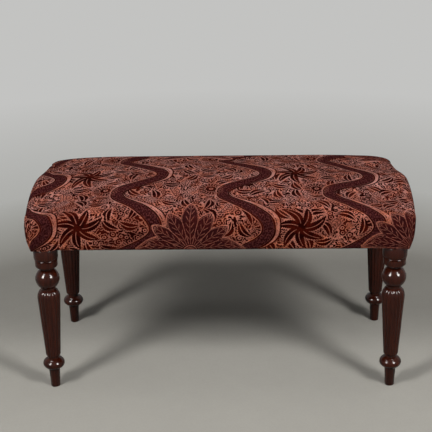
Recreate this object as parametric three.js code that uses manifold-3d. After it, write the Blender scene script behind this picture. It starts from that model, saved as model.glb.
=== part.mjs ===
// A long footstool: four turned and reeded legs, a tenoned frame, and a webbed and stuffed seat.
// Millimetres, +Z up, X along the stool, -Y its front. The origin is on the floor under the middle.
import * as THREE from 'three';
import { mergeVertices } from 'three/addons/utils/BufferGeometryUtils.js';
import Module from 'manifold-3d';

const wasm = await Module();
wasm.setup();

// Driving sizes of the whole stool
const legSpacingX = 800;
const legSpacingY = 338;
const seatGap = 0.3;
const cutOverrun = 2;

// Turned leg: radii, and the lengths of its parts from the floor up
const footRadius = 11;
const footEdge = 1.2;
const pegLength = 43;
const pegTopRadius = 12.2;
const bulbFootLength = 3;
const bulbLength = 33.6;
const bulbRadius = 24.8;
const bulbLowRadius = 12.6;
const lowNeckRadius = 14;
const lowNeckLength = 3.4;
const shaftLowRadius = 17;
const shaftLength = 152.6;
const shaftTopRadius = 26;
const reedFootRise = 5;
const reedHeadRise = 19.8;
const highNeckRadius = 16.5;
const highNeckRise = 2.4;
const ballLength = 48.2;
const ballRadius = 27.1;
const ballTopRadius = 15.8;
const lowTierLength = 16;
const lowTierRadius = 24.7;
const lowTierFlare = 8;
const beadHeight = 3.4;
const beadProud = 1.2;
const highTierLength = 24.6;
const highTierRadius = 27;
const highTierSoftening = 2.4;
const blockBelowRail = 16;
const blockSide = 54;
const pommelRise = 7;
const reedCount = 16;
const reedDepthShare = 0.075;
const turningSegments = 20;
const bulbSteps = 6;
const ballSteps = 8;
const beadSteps = 3;
const flareSteps = 2;
const reedHeadSteps = 3;
const pointsPerReed = 4;

// Seat rails, tenoned into the blocks at the tops of the legs
const railDepth = 62;
const railThickness = 22;
const railEdgeChamfer = 4;
const tenonEndClearance = 2;
const tenonThickness = 8;
const tenonShoulder = 6;
const crossRailThickness = 20;
const crossRailDip = 12;
const crossRailSetUp = 10;
const crossTenonLength = 9;

// Corner blocks and their screws
const cornerBlockReach = 66;
const cornerBlockSetUp = 14;
const cornerBlockSetDown = 6;
const screwShankRadius = 2;
const screwHeadRadius = 4;
const screwHeadHeight = 2.4;
const screwDomeShare = 0.8;
const screwLength = 26;
const screwTipLength = 4;
const screwBite = 14;
const screwInset = 20;
const screwSides = 10;
const counterboreRadius = 5.5;

// Webbing and hessian
const strapWidth = 50;
const strapThickness = 1.6;
const longStrapCount = 3;
const crossStrapCount = 7;
const strapSideMargin = 27;
const strapCrossingMargin = 4;
const strapEndInset = 6;
const hessianThickness = 1.2;
const hessianInset = 6;

// Stuffed seat: how far the outside of the cloth stands from the frame
const coverThickness = 1.6;
const seatOverhang = 10;
const seatWidestDrop = 5;
const seatEdgeRise = 41;
const seatCrown = 15;
const hemOverhang = 3.5;
const hemCornerDip = 6;
const hemTurnUnder = 16;
const endBowWidest = 16;
const endBowTop = 22;
const shoulderInsetEnd = 38;
const shoulderInsetFront = 84;
const shoulderPowerEnd = 2.3;
const shoulderPowerFront = 3;
const cornerRadiusHem = 4;
const cornerRadiusWidest = 18;
const cornerRadiusTop = 76;
const cornerSag = 44;
const sagPowerAlong = 10;
const sagPowerAcross = 1.6;
const bowPower = 4;
const crownPowerAlong = 3;
const crownPowerAcross = 2;
const waddingThickness = 6;
const waddingHemGap = 4;
const bottomingThickness = 1;
const bottomingInset = 8;
const cornerArcSteps = 3;
const lowerSideSteps = 3;
const shoulderSteps = 5;
const topRingShares = [0.8, 0.55, 0.25];

// Heights up the leg and the frame
const bulbLowHeight = pegLength + bulbFootLength;
const bulbTopHeight = bulbLowHeight + bulbLength;
const shaftLowHeight = bulbTopHeight + lowNeckLength;
const shaftTopHeight = shaftLowHeight + shaftLength;
const ballLowHeight = shaftTopHeight + reedHeadRise + highNeckRise;
const ballTopHeight = ballLowHeight + ballLength;
const lowTierTopHeight = ballTopHeight + lowTierLength;
const beadTopHeight = lowTierTopHeight + beadHeight;
const blockLowHeight = beadTopHeight + highTierLength;
const railLowHeight = blockLowHeight + blockBelowRail;
const railTopHeight = railLowHeight + railDepth;
const crossRailLowHeight = railLowHeight + crossRailSetUp;
const cornerBlockLowHeight = railLowHeight + cornerBlockSetUp;
const cornerBlockTopHeight = railTopHeight - cornerBlockSetDown;

// Places and faces that follow from the sizes above
const legX = legSpacingX / 2;
const legY = legSpacingY / 2;
const blockHalf = blockSide / 2;
const blockOuterX = legX + blockHalf;
const blockOuterY = legY + blockHalf;
const blockInnerX = legX - blockHalf;
const blockInnerY = legY - blockHalf;
const railInnerX = blockOuterX - railThickness;
const railInnerY = blockOuterY - railThickness;
const tenonLength = blockSide - railThickness - tenonEndClearance;
const crossStrapPitch = (2 * (railInnerX - strapSideMargin)) / crossStrapCount;
const longStrapPitch = (2 * (railInnerY - strapSideMargin)) / longStrapCount;
const seatHalfLength = blockOuterX + seatOverhang;
const seatHalfDepth = blockOuterY + seatOverhang;
const seatWidestHeight = railTopHeight - seatWidestDrop;
const seatEdgeHeight = railTopHeight + seatEdgeRise;
const hemHalfLength = blockOuterX + hemOverhang;
const hemHalfDepth = blockOuterY + hemOverhang;
const screwHeight = (cornerBlockLowHeight + cornerBlockTopHeight) / 2;
const hemHeight = railLowHeight - seatGap - coverThickness;
const weaveRise = (strapThickness + seatGap) / 2;
const strapMiddleHeight = railTopHeight + seatGap + strapThickness / 2;
const hessianLowHeight = strapMiddleHeight + weaveRise + strapThickness / 2 + seatGap;
const stuffingLowHeight = hessianLowHeight + hessianThickness + seatGap;
const waddingInset = coverThickness + seatGap;
const stuffingInset = waddingInset + waddingThickness + seatGap;
// The straight runs get points where the legs' blocks start and end, so the hem can dip round them
const dipStartX = blockInnerX - seatGap;
const dipFullX = legX - blockHalf / 2;
const dipStartY = blockInnerY - seatGap;
const dipFullY = legY - blockHalf / 2;
const hemRunX = hemHalfLength - cornerRadiusHem;
const hemRunY = hemHalfDepth - cornerRadiusHem;
const longRunShares = [0, 0.5, dipStartX / hemRunX, dipFullX / hemRunX];
const shortRunShares = [0, 0.45, dipStartY / hemRunY, dipFullY / hemRunY];

// The four corners of the stool and the side of it that each is on
const corners = [
  { name: 'front_left', sideX: -1, sideY: -1 },
  { name: 'front_right', sideX: 1, sideY: -1 },
  { name: 'back_left', sideX: -1, sideY: 1 },
  { name: 'back_right', sideX: 1, sideY: 1 },
];

// Finishes
const mahogany = new THREE.MeshStandardMaterial({ color: 0x3a150d, roughness: 0.22, metalness: 0 });
const beech = new THREE.MeshStandardMaterial({ color: 0xc79f6d, roughness: 0.7, metalness: 0 });
const steel = new THREE.MeshStandardMaterial({ color: 0xb9a25c, roughness: 0.35, metalness: 1 });
const jute = new THREE.MeshStandardMaterial({ color: 0xb08d5b, roughness: 0.95, metalness: 0 });
const hair = new THREE.MeshStandardMaterial({ color: 0x4b3a2c, roughness: 1, metalness: 0 });
const cotton = new THREE.MeshStandardMaterial({ color: 0xe9e2d2, roughness: 1, metalness: 0 });
const velvet = new THREE.MeshStandardMaterial({ color: 0x8a3f30, roughness: 0.85, metalness: 0 });
const lining = new THREE.MeshStandardMaterial({ color: 0x1c1b1c, roughness: 0.9, metalness: 0 });

// Closed mesh to solid, and solid back to geometry
function toSolid(geometry) {
  const bare = geometry.index ? geometry.toNonIndexed() : geometry.clone();
  bare.deleteAttribute('normal');
  bare.deleteAttribute('uv');
  const merged = mergeVertices(bare);
  return new wasm.Manifold(new wasm.Mesh({
    numProp: 3,
    vertProperties: new Float32Array(merged.attributes.position.array),
    triVerts: new Uint32Array(merged.index.array),
  }));
}

function toGeometry(solid) {
  const mesh = solid.getMesh();
  const geometry = new THREE.BufferGeometry();
  geometry.setAttribute('position', new THREE.BufferAttribute(new Float32Array(mesh.vertProperties), 3));
  geometry.setIndex(new THREE.BufferAttribute(new Uint32Array(mesh.triVerts), 1));
  const faceted = geometry.toNonIndexed();
  faceted.computeVertexNormals();
  return faceted;
}

function join(solids) {
  return solids.reduce((whole, piece) => whole.add(piece));
}

function cut(whole, tools) {
  return tools.reduce((rest, tool) => rest.subtract(tool), whole);
}

// A box solid between two corners, given in any order
function boxBetween(a, b) {
  const low = new THREE.Vector3().fromArray(a).min(new THREE.Vector3().fromArray(b));
  const high = new THREE.Vector3().fromArray(a).max(new THREE.Vector3().fromArray(b));
  const size = high.clone().sub(low);
  const geometry = new THREE.BoxGeometry(size.x, size.y, size.z);
  geometry.translate((low.x + high.x) / 2, (low.y + high.y) / 2, (low.z + high.z) / 2);
  return toSolid(geometry);
}

// A turned solid about Z: profile points are [radius, height], from the axis to the axis
function turned(profile, segments) {
  const geometry = new THREE.LatheGeometry(profile.map(([r, z]) => new THREE.Vector2(r, z)), segments);
  geometry.rotateX(Math.PI / 2);
  return geometry;
}

// A flat outline raised from one height to another
function slab(points, lowHeight, topHeight) {
  const shape = new THREE.Shape(points.map(([x, y]) => new THREE.Vector2(x, y)));
  const geometry = new THREE.ExtrudeGeometry(shape, { depth: topHeight - lowHeight, bevelEnabled: false });
  geometry.translate(0, 0, lowHeight);
  return geometry;
}

// A closed skin over a list of rings with equal point counts, with a fan at each end
function skin(rings) {
  const points = [];
  const count = rings[0].length;
  const face = (a, b, c) => points.push(...a, ...b, ...c);
  const middle = (ring) => [0, 1, 2].map((axis) => ring.reduce((sum, p) => sum + p[axis], 0) / count);
  for (let level = 0; level + 1 < rings.length; level += 1) {
    for (let k = 0; k < count; k += 1) {
      const next = (k + 1) % count;
      face(rings[level][k], rings[level][next], rings[level + 1][next]);
      face(rings[level][k], rings[level + 1][next], rings[level + 1][k]);
    }
  }
  const first = rings[0];
  const last = rings[rings.length - 1];
  const lowMiddle = middle(first);
  const topMiddle = middle(last);
  for (let k = 0; k < count; k += 1) {
    const next = (k + 1) % count;
    face(first[next], first[k], lowMiddle);
    face(last[k], last[next], topMiddle);
  }
  const geometry = new THREE.BufferGeometry();
  geometry.setAttribute('position', new THREE.Float32BufferAttribute(points, 3));
  return geometry;
}

// Profile points of an ellipse-shaped swelling between two necks
function swelling(low, top, lowRadius, topRadius, widest, steps) {
  const points = [];
  const lowAngle = Math.acos(lowRadius / widest);
  const topAngle = Math.acos(topRadius / widest);
  const halfHeight = (top - low) / (Math.sin(lowAngle) + Math.sin(topAngle));
  const middle = low + halfHeight * Math.sin(lowAngle);
  for (let k = 0; k <= steps; k += 1) {
    const angle = -lowAngle + ((lowAngle + topAngle) * k) / steps;
    points.push([widest * Math.cos(angle), middle + halfHeight * Math.sin(angle)]);
  }
  return points;
}

// Profile points of a quarter ellipse that flares out and up from a neck to a drum
function flare(low, top, fromRadius, toRadius, steps) {
  const points = [];
  for (let k = 0; k <= steps; k += 1) {
    const angle = (Math.PI / 2) * (k / steps);
    points.push([
      fromRadius + (toRadius - fromRadius) * Math.sin(angle),
      top - (top - low) * Math.cos(angle),
    ]);
  }
  return points;
}

// Foot, peg and bulb below the reeded shaft
function lowerTurning() {
  const neckTop = shaftLowHeight + reedFootRise;
  return turned([
    [0, 0],
    [footRadius - footEdge, 0],
    [footRadius, footEdge],
    [pegTopRadius, pegLength],
    ...swelling(bulbLowHeight, bulbTopHeight, bulbLowRadius, lowNeckRadius, bulbRadius, bulbSteps),
    [lowNeckRadius, neckTop],
    [0, neckTop],
  ], turningSegments);
}

// Neck, ball and two-tier collar above the reeded shaft
function upperTurning() {
  const beadRadius = lowTierRadius + beadProud;
  const neckLow = ballLowHeight - 2 * highNeckRise;
  return turned([
    [0, neckLow],
    [highNeckRadius, neckLow],
    ...swelling(ballLowHeight, ballTopHeight, highNeckRadius, ballTopRadius, ballRadius, ballSteps),
    ...flare(ballTopHeight + seatGap, ballTopHeight + lowTierFlare, ballTopRadius, lowTierRadius, flareSteps),
    ...swelling(lowTierTopHeight, beadTopHeight, lowTierRadius, lowTierRadius, beadRadius, beadSteps),
    [highTierRadius - highTierSoftening / 2, beadTopHeight],
    [highTierRadius, beadTopHeight + highTierSoftening],
    [highTierRadius, blockLowHeight + pommelRise],
    [0, blockLowHeight + pommelRise],
  ], turningSegments);
}

// One ring of the reeded shaft: reeds stand out as rounded ribs between sharp valleys
function reedRing(height, radius, depth) {
  const count = reedCount * pointsPerReed;
  return Array.from({ length: count }, (_, k) => {
    const angle = (2 * Math.PI * k) / count;
    const across = (k % pointsPerReed) / pointsPerReed;
    const reach = radius - depth * (1 - Math.sin(Math.PI * across));
    return [reach * Math.cos(angle), reach * Math.sin(angle), height];
  });
}

// The tapering shaft, whose reeds end in rounded heads and feet
function reededShaft() {
  const rings = [];
  const footDepth = shaftLowRadius * reedDepthShare;
  const headDepth = shaftTopRadius * reedDepthShare;
  rings.push(reedRing(shaftLowHeight, lowNeckRadius, 0));
  const halfRadius = (lowNeckRadius + shaftLowRadius) / 2;
  rings.push(reedRing(shaftLowHeight + reedFootRise / 4, halfRadius, footDepth / 2));
  rings.push(reedRing(shaftLowHeight + reedFootRise, shaftLowRadius, footDepth));
  for (let k = 0; k <= reedHeadSteps; k += 1) {
    const angle = (Math.PI / 2) * (k / reedHeadSteps);
    const radius = highNeckRadius + (shaftTopRadius - highNeckRadius) * Math.cos(angle);
    const depth = headDepth * Math.cos(angle);
    rings.push(reedRing(shaftTopHeight + reedHeadRise * Math.sin(angle), radius, depth));
  }
  return skin(rings);
}

// The square top of the leg, with its corners turned off into a pommel above the collar
function legBlock() {
  const cornerRadius = blockHalf * Math.SQRT2 + seatGap;
  const pommel = turned([
    [0, blockLowHeight],
    ...flare(blockLowHeight, blockLowHeight + pommelRise, highTierRadius, cornerRadius, flareSteps),
    [cornerRadius, railTopHeight + cutOverrun],
    [0, railTopHeight + cutOverrun],
  ], turningSegments * 2);
  const square = boxBetween([-blockHalf, -blockHalf, blockLowHeight], [blockHalf, blockHalf, railTopHeight]);
  return toSolid(pommel).intersect(square);
}

// Mortises for the two rails that meet in this leg; sideX and sideY say which corner it stands in
function legMortises(sideX, sideY) {
  const low = railLowHeight + tenonShoulder - seatGap;
  const top = railTopHeight - tenonShoulder + seatGap;
  const reach = tenonLength + seatGap;
  const half = tenonThickness / 2 + seatGap;
  const railLine = blockHalf - railThickness / 2;
  return [
    boxBetween(
      [-sideX * (blockHalf + cutOverrun), sideY * (railLine - half), low],
      [sideX * (reach - blockHalf), sideY * (railLine + half), top],
    ),
    boxBetween(
      [sideX * (railLine - half), -sideY * (blockHalf + cutOverrun), low],
      [sideX * (railLine + half), sideY * (reach - blockHalf), top],
    ),
  ];
}

function leg(sideX, sideY) {
  const body = join([toSolid(lowerTurning()), toSolid(reededShaft()), toSolid(upperTurning()), legBlock()]);
  return toGeometry(cut(body, legMortises(sideX, sideY)));
}

// Section of a seat rail, outer face at zero and the rasped edge at the top outside
function railSection() {
  return [
    [0, railLowHeight],
    [railThickness, railLowHeight],
    [railThickness, railTopHeight],
    [railEdgeChamfer, railTopHeight],
    [0, railTopHeight - railEdgeChamfer],
  ];
}

// A rail along +X with its outer face on y = 0, facing -Y, and a tenon at each end
function rail(halfSpan) {
  const shape = new THREE.Shape(railSection().map(([y, z]) => new THREE.Vector2(y, z)));
  const geometry = new THREE.ExtrudeGeometry(shape, { depth: 2 * halfSpan, bevelEnabled: false });
  geometry.applyMatrix4(new THREE.Matrix4().makeBasis(
    new THREE.Vector3(0, 1, 0), new THREE.Vector3(0, 0, 1), new THREE.Vector3(1, 0, 0),
  ));
  geometry.translate(-halfSpan, 0, 0);
  const tenons = boxBetween(
    [-halfSpan - seatGap - tenonLength, (railThickness - tenonThickness) / 2, railLowHeight + tenonShoulder],
    [halfSpan + seatGap + tenonLength, (railThickness + tenonThickness) / 2, railTopHeight - tenonShoulder],
  );
  return toSolid(geometry).add(tenons);
}

// Clearance hole for a screw that enters a rail's inner face
function pilotHole(x) {
  const hole = new THREE.CylinderGeometry(
    screwShankRadius + seatGap, screwShankRadius + seatGap, screwBite + cutOverrun + seatGap, screwSides,
  );
  const middle = railThickness - screwBite - seatGap + (screwBite + cutOverrun + seatGap) / 2;
  hole.translate(x, middle, screwHeight);
  return toSolid(hole);
}

// Housing in a long rail for the stub tenon of the cross rail
function crossHousing() {
  const half = crossRailThickness / 2 - tenonShoulder + seatGap;
  return boxBetween(
    [-half, railThickness - crossTenonLength - seatGap, crossRailLowHeight + tenonShoulder - seatGap],
    [half, railThickness + cutOverrun, railTopHeight - crossRailDip - tenonShoulder + seatGap],
  );
}

// Each rail has a pilot hole for the corner block's screw near each of its ends
function longRail() {
  const holeX = blockInnerX - screwInset;
  return cut(rail(blockInnerX - seatGap), [pilotHole(holeX), pilotHole(-holeX), crossHousing()]);
}

function shortRail() {
  const holeY = blockInnerY - screwInset;
  return cut(rail(blockInnerY - seatGap), [pilotHole(holeY), pilotHole(-holeY)]);
}

// The cross rail lies under the webbing, its top hollowed so that the straps clear it
function crossRail() {
  const halfSpan = railInnerY - seatGap;
  const top = railTopHeight - crossRailDip;
  const half = crossRailThickness / 2;
  const bar = boxBetween([-half, -halfSpan, crossRailLowHeight], [half, halfSpan, top]);
  const stub = boxBetween(
    [-half + tenonShoulder, -halfSpan - seatGap - crossTenonLength, crossRailLowHeight + tenonShoulder],
    [half - tenonShoulder, halfSpan + seatGap + crossTenonLength, top - tenonShoulder],
  );
  return toGeometry(bar.add(stub));
}

// Corner block in the corner at +X +Y: it fits round the leg's block and braces both rails
function cornerBlock() {
  const faceX = railInnerX - seatGap;
  const faceY = railInnerY - seatGap;
  const notchX = blockInnerX - seatGap;
  const notchY = blockInnerY - seatGap;
  const outline = [
    [notchX - cornerBlockReach, faceY],
    [faceX, notchY - cornerBlockReach],
    [faceX, notchY],
    [notchX, notchY],
    [notchX, faceY],
  ];
  const solid = toSolid(slab(outline, cornerBlockLowHeight, cornerBlockTopHeight));
  return toGeometry(cut(solid, screwPlaces().map(screwWay)));
}

// The two screws of the corner at +X +Y: the point where each head seats, and its direction
function screwPlaces() {
  const seatDepth = screwLength - screwBite;
  return [
    {
      at: [blockInnerX - screwInset, railInnerY - seatDepth, screwHeight],
      along: new THREE.Vector3(0, 1, 0),
    },
    {
      at: [railInnerX - seatDepth, blockInnerY - screwInset, screwHeight],
      along: new THREE.Vector3(1, 0, 0),
    },
  ];
}

// Turns a shape that points along +Z so that it points along the screw, and puts it at its seat
function driveAlong(geometry, place) {
  const turn = new THREE.Quaternion().setFromUnitVectors(new THREE.Vector3(0, 0, 1), place.along);
  geometry.applyQuaternion(turn);
  geometry.translate(...place.at);
  return geometry;
}

// Clearance for a screw through a corner block: shank hole, and a counterbore open to the inside
function screwWay(place) {
  const bore = screwShankRadius + seatGap;
  const open = cornerBlockReach;
  return toSolid(driveAlong(turned([
    [0, -open],
    [counterboreRadius, -open],
    [counterboreRadius, -seatGap],
    [bore, -seatGap],
    [bore, screwLength],
    [0, screwLength],
  ], screwSides), place));
}

// A round-headed wood screw that points along +Z with the underside of its head at zero
function screw() {
  return turned([
    [0, -screwHeadHeight - seatGap],
    [screwHeadRadius * Math.SQRT1_2, -screwHeadHeight * screwDomeShare - seatGap],
    [screwHeadRadius, -seatGap * 2],
    [screwShankRadius, -seatGap * 2],
    [screwShankRadius, screwLength - screwTipLength - seatGap * 2],
    [0, screwLength - seatGap * 2],
  ], screwSides);
}

// A strap woven over and under the straps that cross it, along +X from end to end
function wovenStrap(halfLength, crossings, firstSide) {
  const half = strapWidth / 2 + strapCrossingMargin;
  const line = [[-halfLength, 0]];
  crossings.forEach((at, k) => {
    const rise = (k % 2 === 0 ? firstSide : -firstSide) * weaveRise;
    line.push([at - half, rise], [at + half, rise]);
  });
  line.push([halfLength, 0]);
  const lower = line.map(([x, z]) => [x, z - strapThickness / 2]);
  const upper = line.map(([x, z]) => [x, z + strapThickness / 2]).reverse();
  const strap = slab([...lower, ...upper], -strapWidth / 2, strapWidth / 2);
  strap.rotateX(Math.PI / 2);
  return strap;
}

// Equal places on both sides of the middle
function places(count, pitch) {
  return Array.from({ length: count }, (_, k) => (k - (count - 1) / 2) * pitch);
}

// Size, shape and height of the seat's outline at each level of its side, drawn in by an inset
function sideLevels(inset) {
  const levels = [];
  for (let k = 0; k <= lowerSideSteps; k += 1) {
    const share = k / lowerSideSteps;
    const swell = Math.sin((share * Math.PI) / 2);
    const height = hemHeight + inset + (seatWidestHeight - hemHeight - inset) * share;
    levels.push({
      halfX: hemHalfLength + (seatHalfLength - hemHalfLength) * swell - inset,
      halfY: hemHalfDepth + (seatHalfDepth - hemHalfDepth) * swell - inset,
      radius: cornerRadiusHem + (cornerRadiusWidest - cornerRadiusHem) * swell,
      bow: endBowWidest * swell,
      heightEnd: height,
      heightFront: height,
      sag: 0,
      dip: 1 - share,
    });
  }
  for (let k = 1; k <= shoulderSteps; k += 1) {
    const angle = (Math.PI / 2) * (k / shoulderSteps);
    const pulled = Math.sin(angle) ** 2;
    const rise = seatEdgeHeight - inset - seatWidestHeight;
    levels.push({
      halfX: seatHalfLength - inset - shoulderInsetEnd * (1 - Math.cos(angle) ** (2 / shoulderPowerEnd)),
      halfY: seatHalfDepth - inset - shoulderInsetFront * (1 - Math.cos(angle) ** (2 / shoulderPowerFront)),
      radius: cornerRadiusWidest + (cornerRadiusTop - cornerRadiusWidest) * pulled,
      bow: endBowWidest + (endBowTop - endBowWidest) * pulled,
      heightEnd: seatWidestHeight + rise * Math.sin(angle) ** (2 / shoulderPowerEnd),
      heightFront: seatWidestHeight + rise * Math.sin(angle) ** (2 / shoulderPowerFront),
      sag: cornerSag * pulled,
      dip: 0,
    });
  }
  return levels;
}

// Smooth step from 0 to 1 between two places
function ramp(at, start, end) {
  return THREE.MathUtils.smoothstep(at, start, end);
}

// One quarter's directions, from the end's middle round the corner to the front's middle
function quarterPlaces(level) {
  const runX = level.halfX - level.radius;
  const runY = level.halfY - level.radius;
  const along = shortRunShares.map((share) => ({ x: level.halfX, y: runY * share, facing: 0 }));
  for (let k = 0; k <= cornerArcSteps; k += 1) {
    const facing = (Math.PI / 2) * (k / cornerArcSteps);
    along.push({
      x: runX + level.radius * Math.cos(facing),
      y: runY + level.radius * Math.sin(facing),
      facing,
    });
  }
  const across = [...longRunShares].reverse().map((share) => (
    { x: runX * share, y: level.halfY, facing: Math.PI / 2 }
  ));
  return [...along, ...across];
}

// Height and bow of one point of a level
function seatPoint(level, { x, y, facing }) {
  const endward = Math.cos(facing) ** 2;
  const bowed = x + level.bow * (1 - (y / level.halfY) ** 2) * (x / level.halfX) ** bowPower;
  const sag = level.sag * (x / level.halfX) ** sagPowerAlong * (y / level.halfY) ** sagPowerAcross;
  const dip = hemCornerDip * level.dip * ramp(x, dipStartX, dipFullX) * ramp(y, dipStartY, dipFullY);
  const height = level.heightFront + (level.heightEnd - level.heightFront) * endward;
  return [bowed, y, height - sag - dip];
}

// A whole ring from one quarter, mirrored into the other three and run round anticlockwise
function seatRing(level) {
  const quarter = quarterPlaces(level).map((place) => seatPoint(level, place));
  const first = quarter;
  const second = [...quarter].reverse().slice(1).map(([x, y, z]) => [-x, y, z]);
  const third = quarter.slice(1).map(([x, y, z]) => [-x, -y, z]);
  const fourth = [...quarter].reverse().slice(1, -1).map(([x, y, z]) => [x, -y, z]);
  return [...first, ...second, ...third, ...fourth];
}

// Rings over the top, drawn in towards the middle while they rise to the crown
function crownRings(edge, inset) {
  return topRingShares.map((share) => edge.map(([x, y, z]) => {
    const along = Math.abs((x * share) / (seatHalfLength - shoulderInsetEnd));
    const across = Math.abs((y * share) / (seatHalfDepth - shoulderInsetFront));
    const fallAlong = 1 - Math.min(along, 1) ** crownPowerAlong;
    const fallAcross = 1 - Math.min(across, 1) ** crownPowerAcross;
    const flat = seatEdgeHeight - inset;
    return [x * share, y * share, flat + (z - flat) * share ** 2 + seatCrown * fallAlong * fallAcross];
  }));
}

// The rings of the stuffed shape, from the hem up its side and over to the crown
function seatForm(inset) {
  const rings = sideLevels(inset).map(seatRing);
  return [...rings, ...crownRings(rings[rings.length - 1], inset)];
}

// The same ring at another height, moved in towards the middle of the stool
function turnedUnder(ring, width, height) {
  return ring.map(([x, y]) => [
    x - Math.sign(x) * Math.min(width, Math.abs(x)),
    y - Math.sign(y) * Math.min(width, Math.abs(y)),
    height,
  ]);
}

// The cover: the cloth outside, then back down its inside to the edge that is turned under the rails
function topCover() {
  const outside = seatForm(0);
  const inside = seatForm(coverThickness);
  const hemRing = outside[0];
  const edgeLow = turnedUnder(hemRing, hemTurnUnder, hemHeight);
  const edgeHigh = turnedUnder(hemRing, hemTurnUnder, hemHeight + coverThickness);
  const outer = toSolid(skin([edgeLow, ...outside]));
  const inner = toSolid(skin([edgeHigh, ...inside]));
  const mouth = boxBetween(
    [-(hemHalfLength - hemTurnUnder), -(hemHalfDepth - hemTurnUnder), hemHeight - hemCornerDip - cutOverrun],
    [hemHalfLength - hemTurnUnder, hemHalfDepth - hemTurnUnder, hemHeight + coverThickness + seatGap],
  );
  return toGeometry(cut(outer, [inner, mouth, ...blockClearances()]));
}

// The four places where the legs' blocks come up through the seat's edge
function blockClearances() {
  const grown = blockHalf + seatGap;
  return corners.map(({ sideX, sideY }) => boxBetween(
    [sideX * legX - grown, sideY * legY - grown, hemHeight - hemCornerDip - cutOverrun],
    [sideX * legX + grown, sideY * legY + grown, railTopHeight + seatGap],
  ));
}

// Space inside the wadding: the wooden frame with its webbing, and the stuffing above it
function waddingHollow() {
  const frame = boxBetween(
    [-blockOuterX - seatGap, -blockOuterY - seatGap, hemHeight - cutOverrun],
    [blockOuterX + seatGap, blockOuterY + seatGap, stuffingLowHeight],
  );
  return frame.add(stuffingForm(stuffingInset - seatGap, stuffingLowHeight - seatGap));
}

// Soft form above the frame, cut level at its underside
function stuffingForm(inset, lowHeight) {
  const reachX = seatHalfLength + endBowTop;
  const below = boxBetween([-reachX, -seatHalfDepth, 0], [reachX, seatHalfDepth, lowHeight]);
  return toSolid(skin(seatForm(inset))).subtract(below);
}

// Wadding from just above the hem, over the rails' faces and the stuffing
function wadding() {
  const form = seatForm(waddingInset);
  const low = hemHeight + coverThickness + waddingHemGap;
  const rings = form.map((ring) => ring.map(([x, y, z]) => [x, y, Math.max(z, low)]));
  return toGeometry(toSolid(skin(rings)).subtract(waddingHollow()));
}

// Hessian stretched over the webbing, out to just inside the rails' outer faces
function hessian() {
  const halfX = blockOuterX - hessianInset;
  const halfY = blockOuterY - hessianInset;
  const topHeight = hessianLowHeight + hessianThickness;
  return toGeometry(boxBetween([-halfX, -halfY, hessianLowHeight], [halfX, halfY, topHeight]));
}

// Black cloth under the seat, tacked over the cover's turned edge and notched round the legs
function bottomingCloth() {
  const halfX = hemHalfLength - bottomingInset;
  const halfY = hemHalfDepth - bottomingInset;
  const notchX = blockInnerX - hemTurnUnder;
  const notchY = blockInnerY - hemTurnUnder;
  const outline = [
    [notchX, halfY], [-notchX, halfY], [-notchX, notchY], [-halfX, notchY],
    [-halfX, -notchY], [-notchX, -notchY], [-notchX, -halfY], [notchX, -halfY],
    [notchX, -notchY], [halfX, -notchY], [halfX, notchY], [notchX, notchY],
  ];
  const top = hemHeight - seatGap;
  return slab(outline, top - bottomingThickness, top);
}

// The stool: every piece under its own name
const stool = new THREE.Group();

function place(name, geometry, material, put = () => {}) {
  const mesh = new THREE.Mesh(geometry, material);
  mesh.name = name;
  put(mesh);
  stool.add(mesh);
  return mesh;
}

// Carries a piece made for the corner at +X +Y into another corner by mirroring it
function mirrored(geometry, sideX, sideY) {
  const copy = geometry.clone();
  copy.scale(sideX, sideY, 1);
  if (sideX * sideY < 0) {
    const position = copy.attributes.position;
    for (let k = 0; k < position.count; k += 3) {
      const a = new THREE.Vector3().fromBufferAttribute(position, k + 1);
      const b = new THREE.Vector3().fromBufferAttribute(position, k + 2);
      position.setXYZ(k + 1, b.x, b.y, b.z);
      position.setXYZ(k + 2, a.x, a.y, a.z);
    }
  }
  copy.computeVertexNormals();
  return copy;
}

corners.forEach(({ name, sideX, sideY }) => {
  place(`leg_${name}`, leg(sideX, sideY), mahogany, (mesh) => {
    mesh.position.set(sideX * legX, sideY * legY, 0);
  });
});

const longRailGeometry = toGeometry(longRail());
place('rail_front', longRailGeometry, beech, (mesh) => mesh.position.set(0, -blockOuterY, 0));
place('rail_back', longRailGeometry, beech, (mesh) => {
  mesh.position.set(0, blockOuterY, 0);
  mesh.rotation.z = Math.PI;
});
const shortRailGeometry = toGeometry(shortRail());
place('rail_left', shortRailGeometry, beech, (mesh) => {
  mesh.position.set(-blockOuterX, 0, 0);
  mesh.rotation.z = -Math.PI / 2;
});
place('rail_right', shortRailGeometry, beech, (mesh) => {
  mesh.position.set(blockOuterX, 0, 0);
  mesh.rotation.z = Math.PI / 2;
});
place('cross_rail', crossRail(), beech);

const cornerBlockGeometry = cornerBlock();
corners.forEach(({ name, sideX, sideY }) => {
  place(`corner_block_${name}`, mirrored(cornerBlockGeometry, sideX, sideY), beech);
  screwPlaces().forEach((screwPlace, k) => {
    const driven = driveAlong(screw(), screwPlace).toNonIndexed();
    place(`screw_${name}_${k + 1}`, mirrored(driven, sideX, sideY), steel);
  });
});

const longPlaces = places(longStrapCount, longStrapPitch);
const crossPlaces = places(crossStrapCount, crossStrapPitch);
longPlaces.forEach((y, k) => {
  const strap = wovenStrap(blockOuterX - strapEndInset, crossPlaces, k % 2 === 0 ? 1 : -1);
  place(`webbing_long_${k + 1}`, strap, jute, (mesh) => mesh.position.set(0, y, strapMiddleHeight));
});
crossPlaces.forEach((x, k) => {
  const strap = wovenStrap(blockOuterY - strapEndInset, longPlaces, k % 2 === 0 ? -1 : 1);
  place(`webbing_cross_${k + 1}`, strap, jute, (mesh) => {
    mesh.position.set(x, 0, strapMiddleHeight);
    mesh.rotation.z = Math.PI / 2;
  });
});

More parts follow.
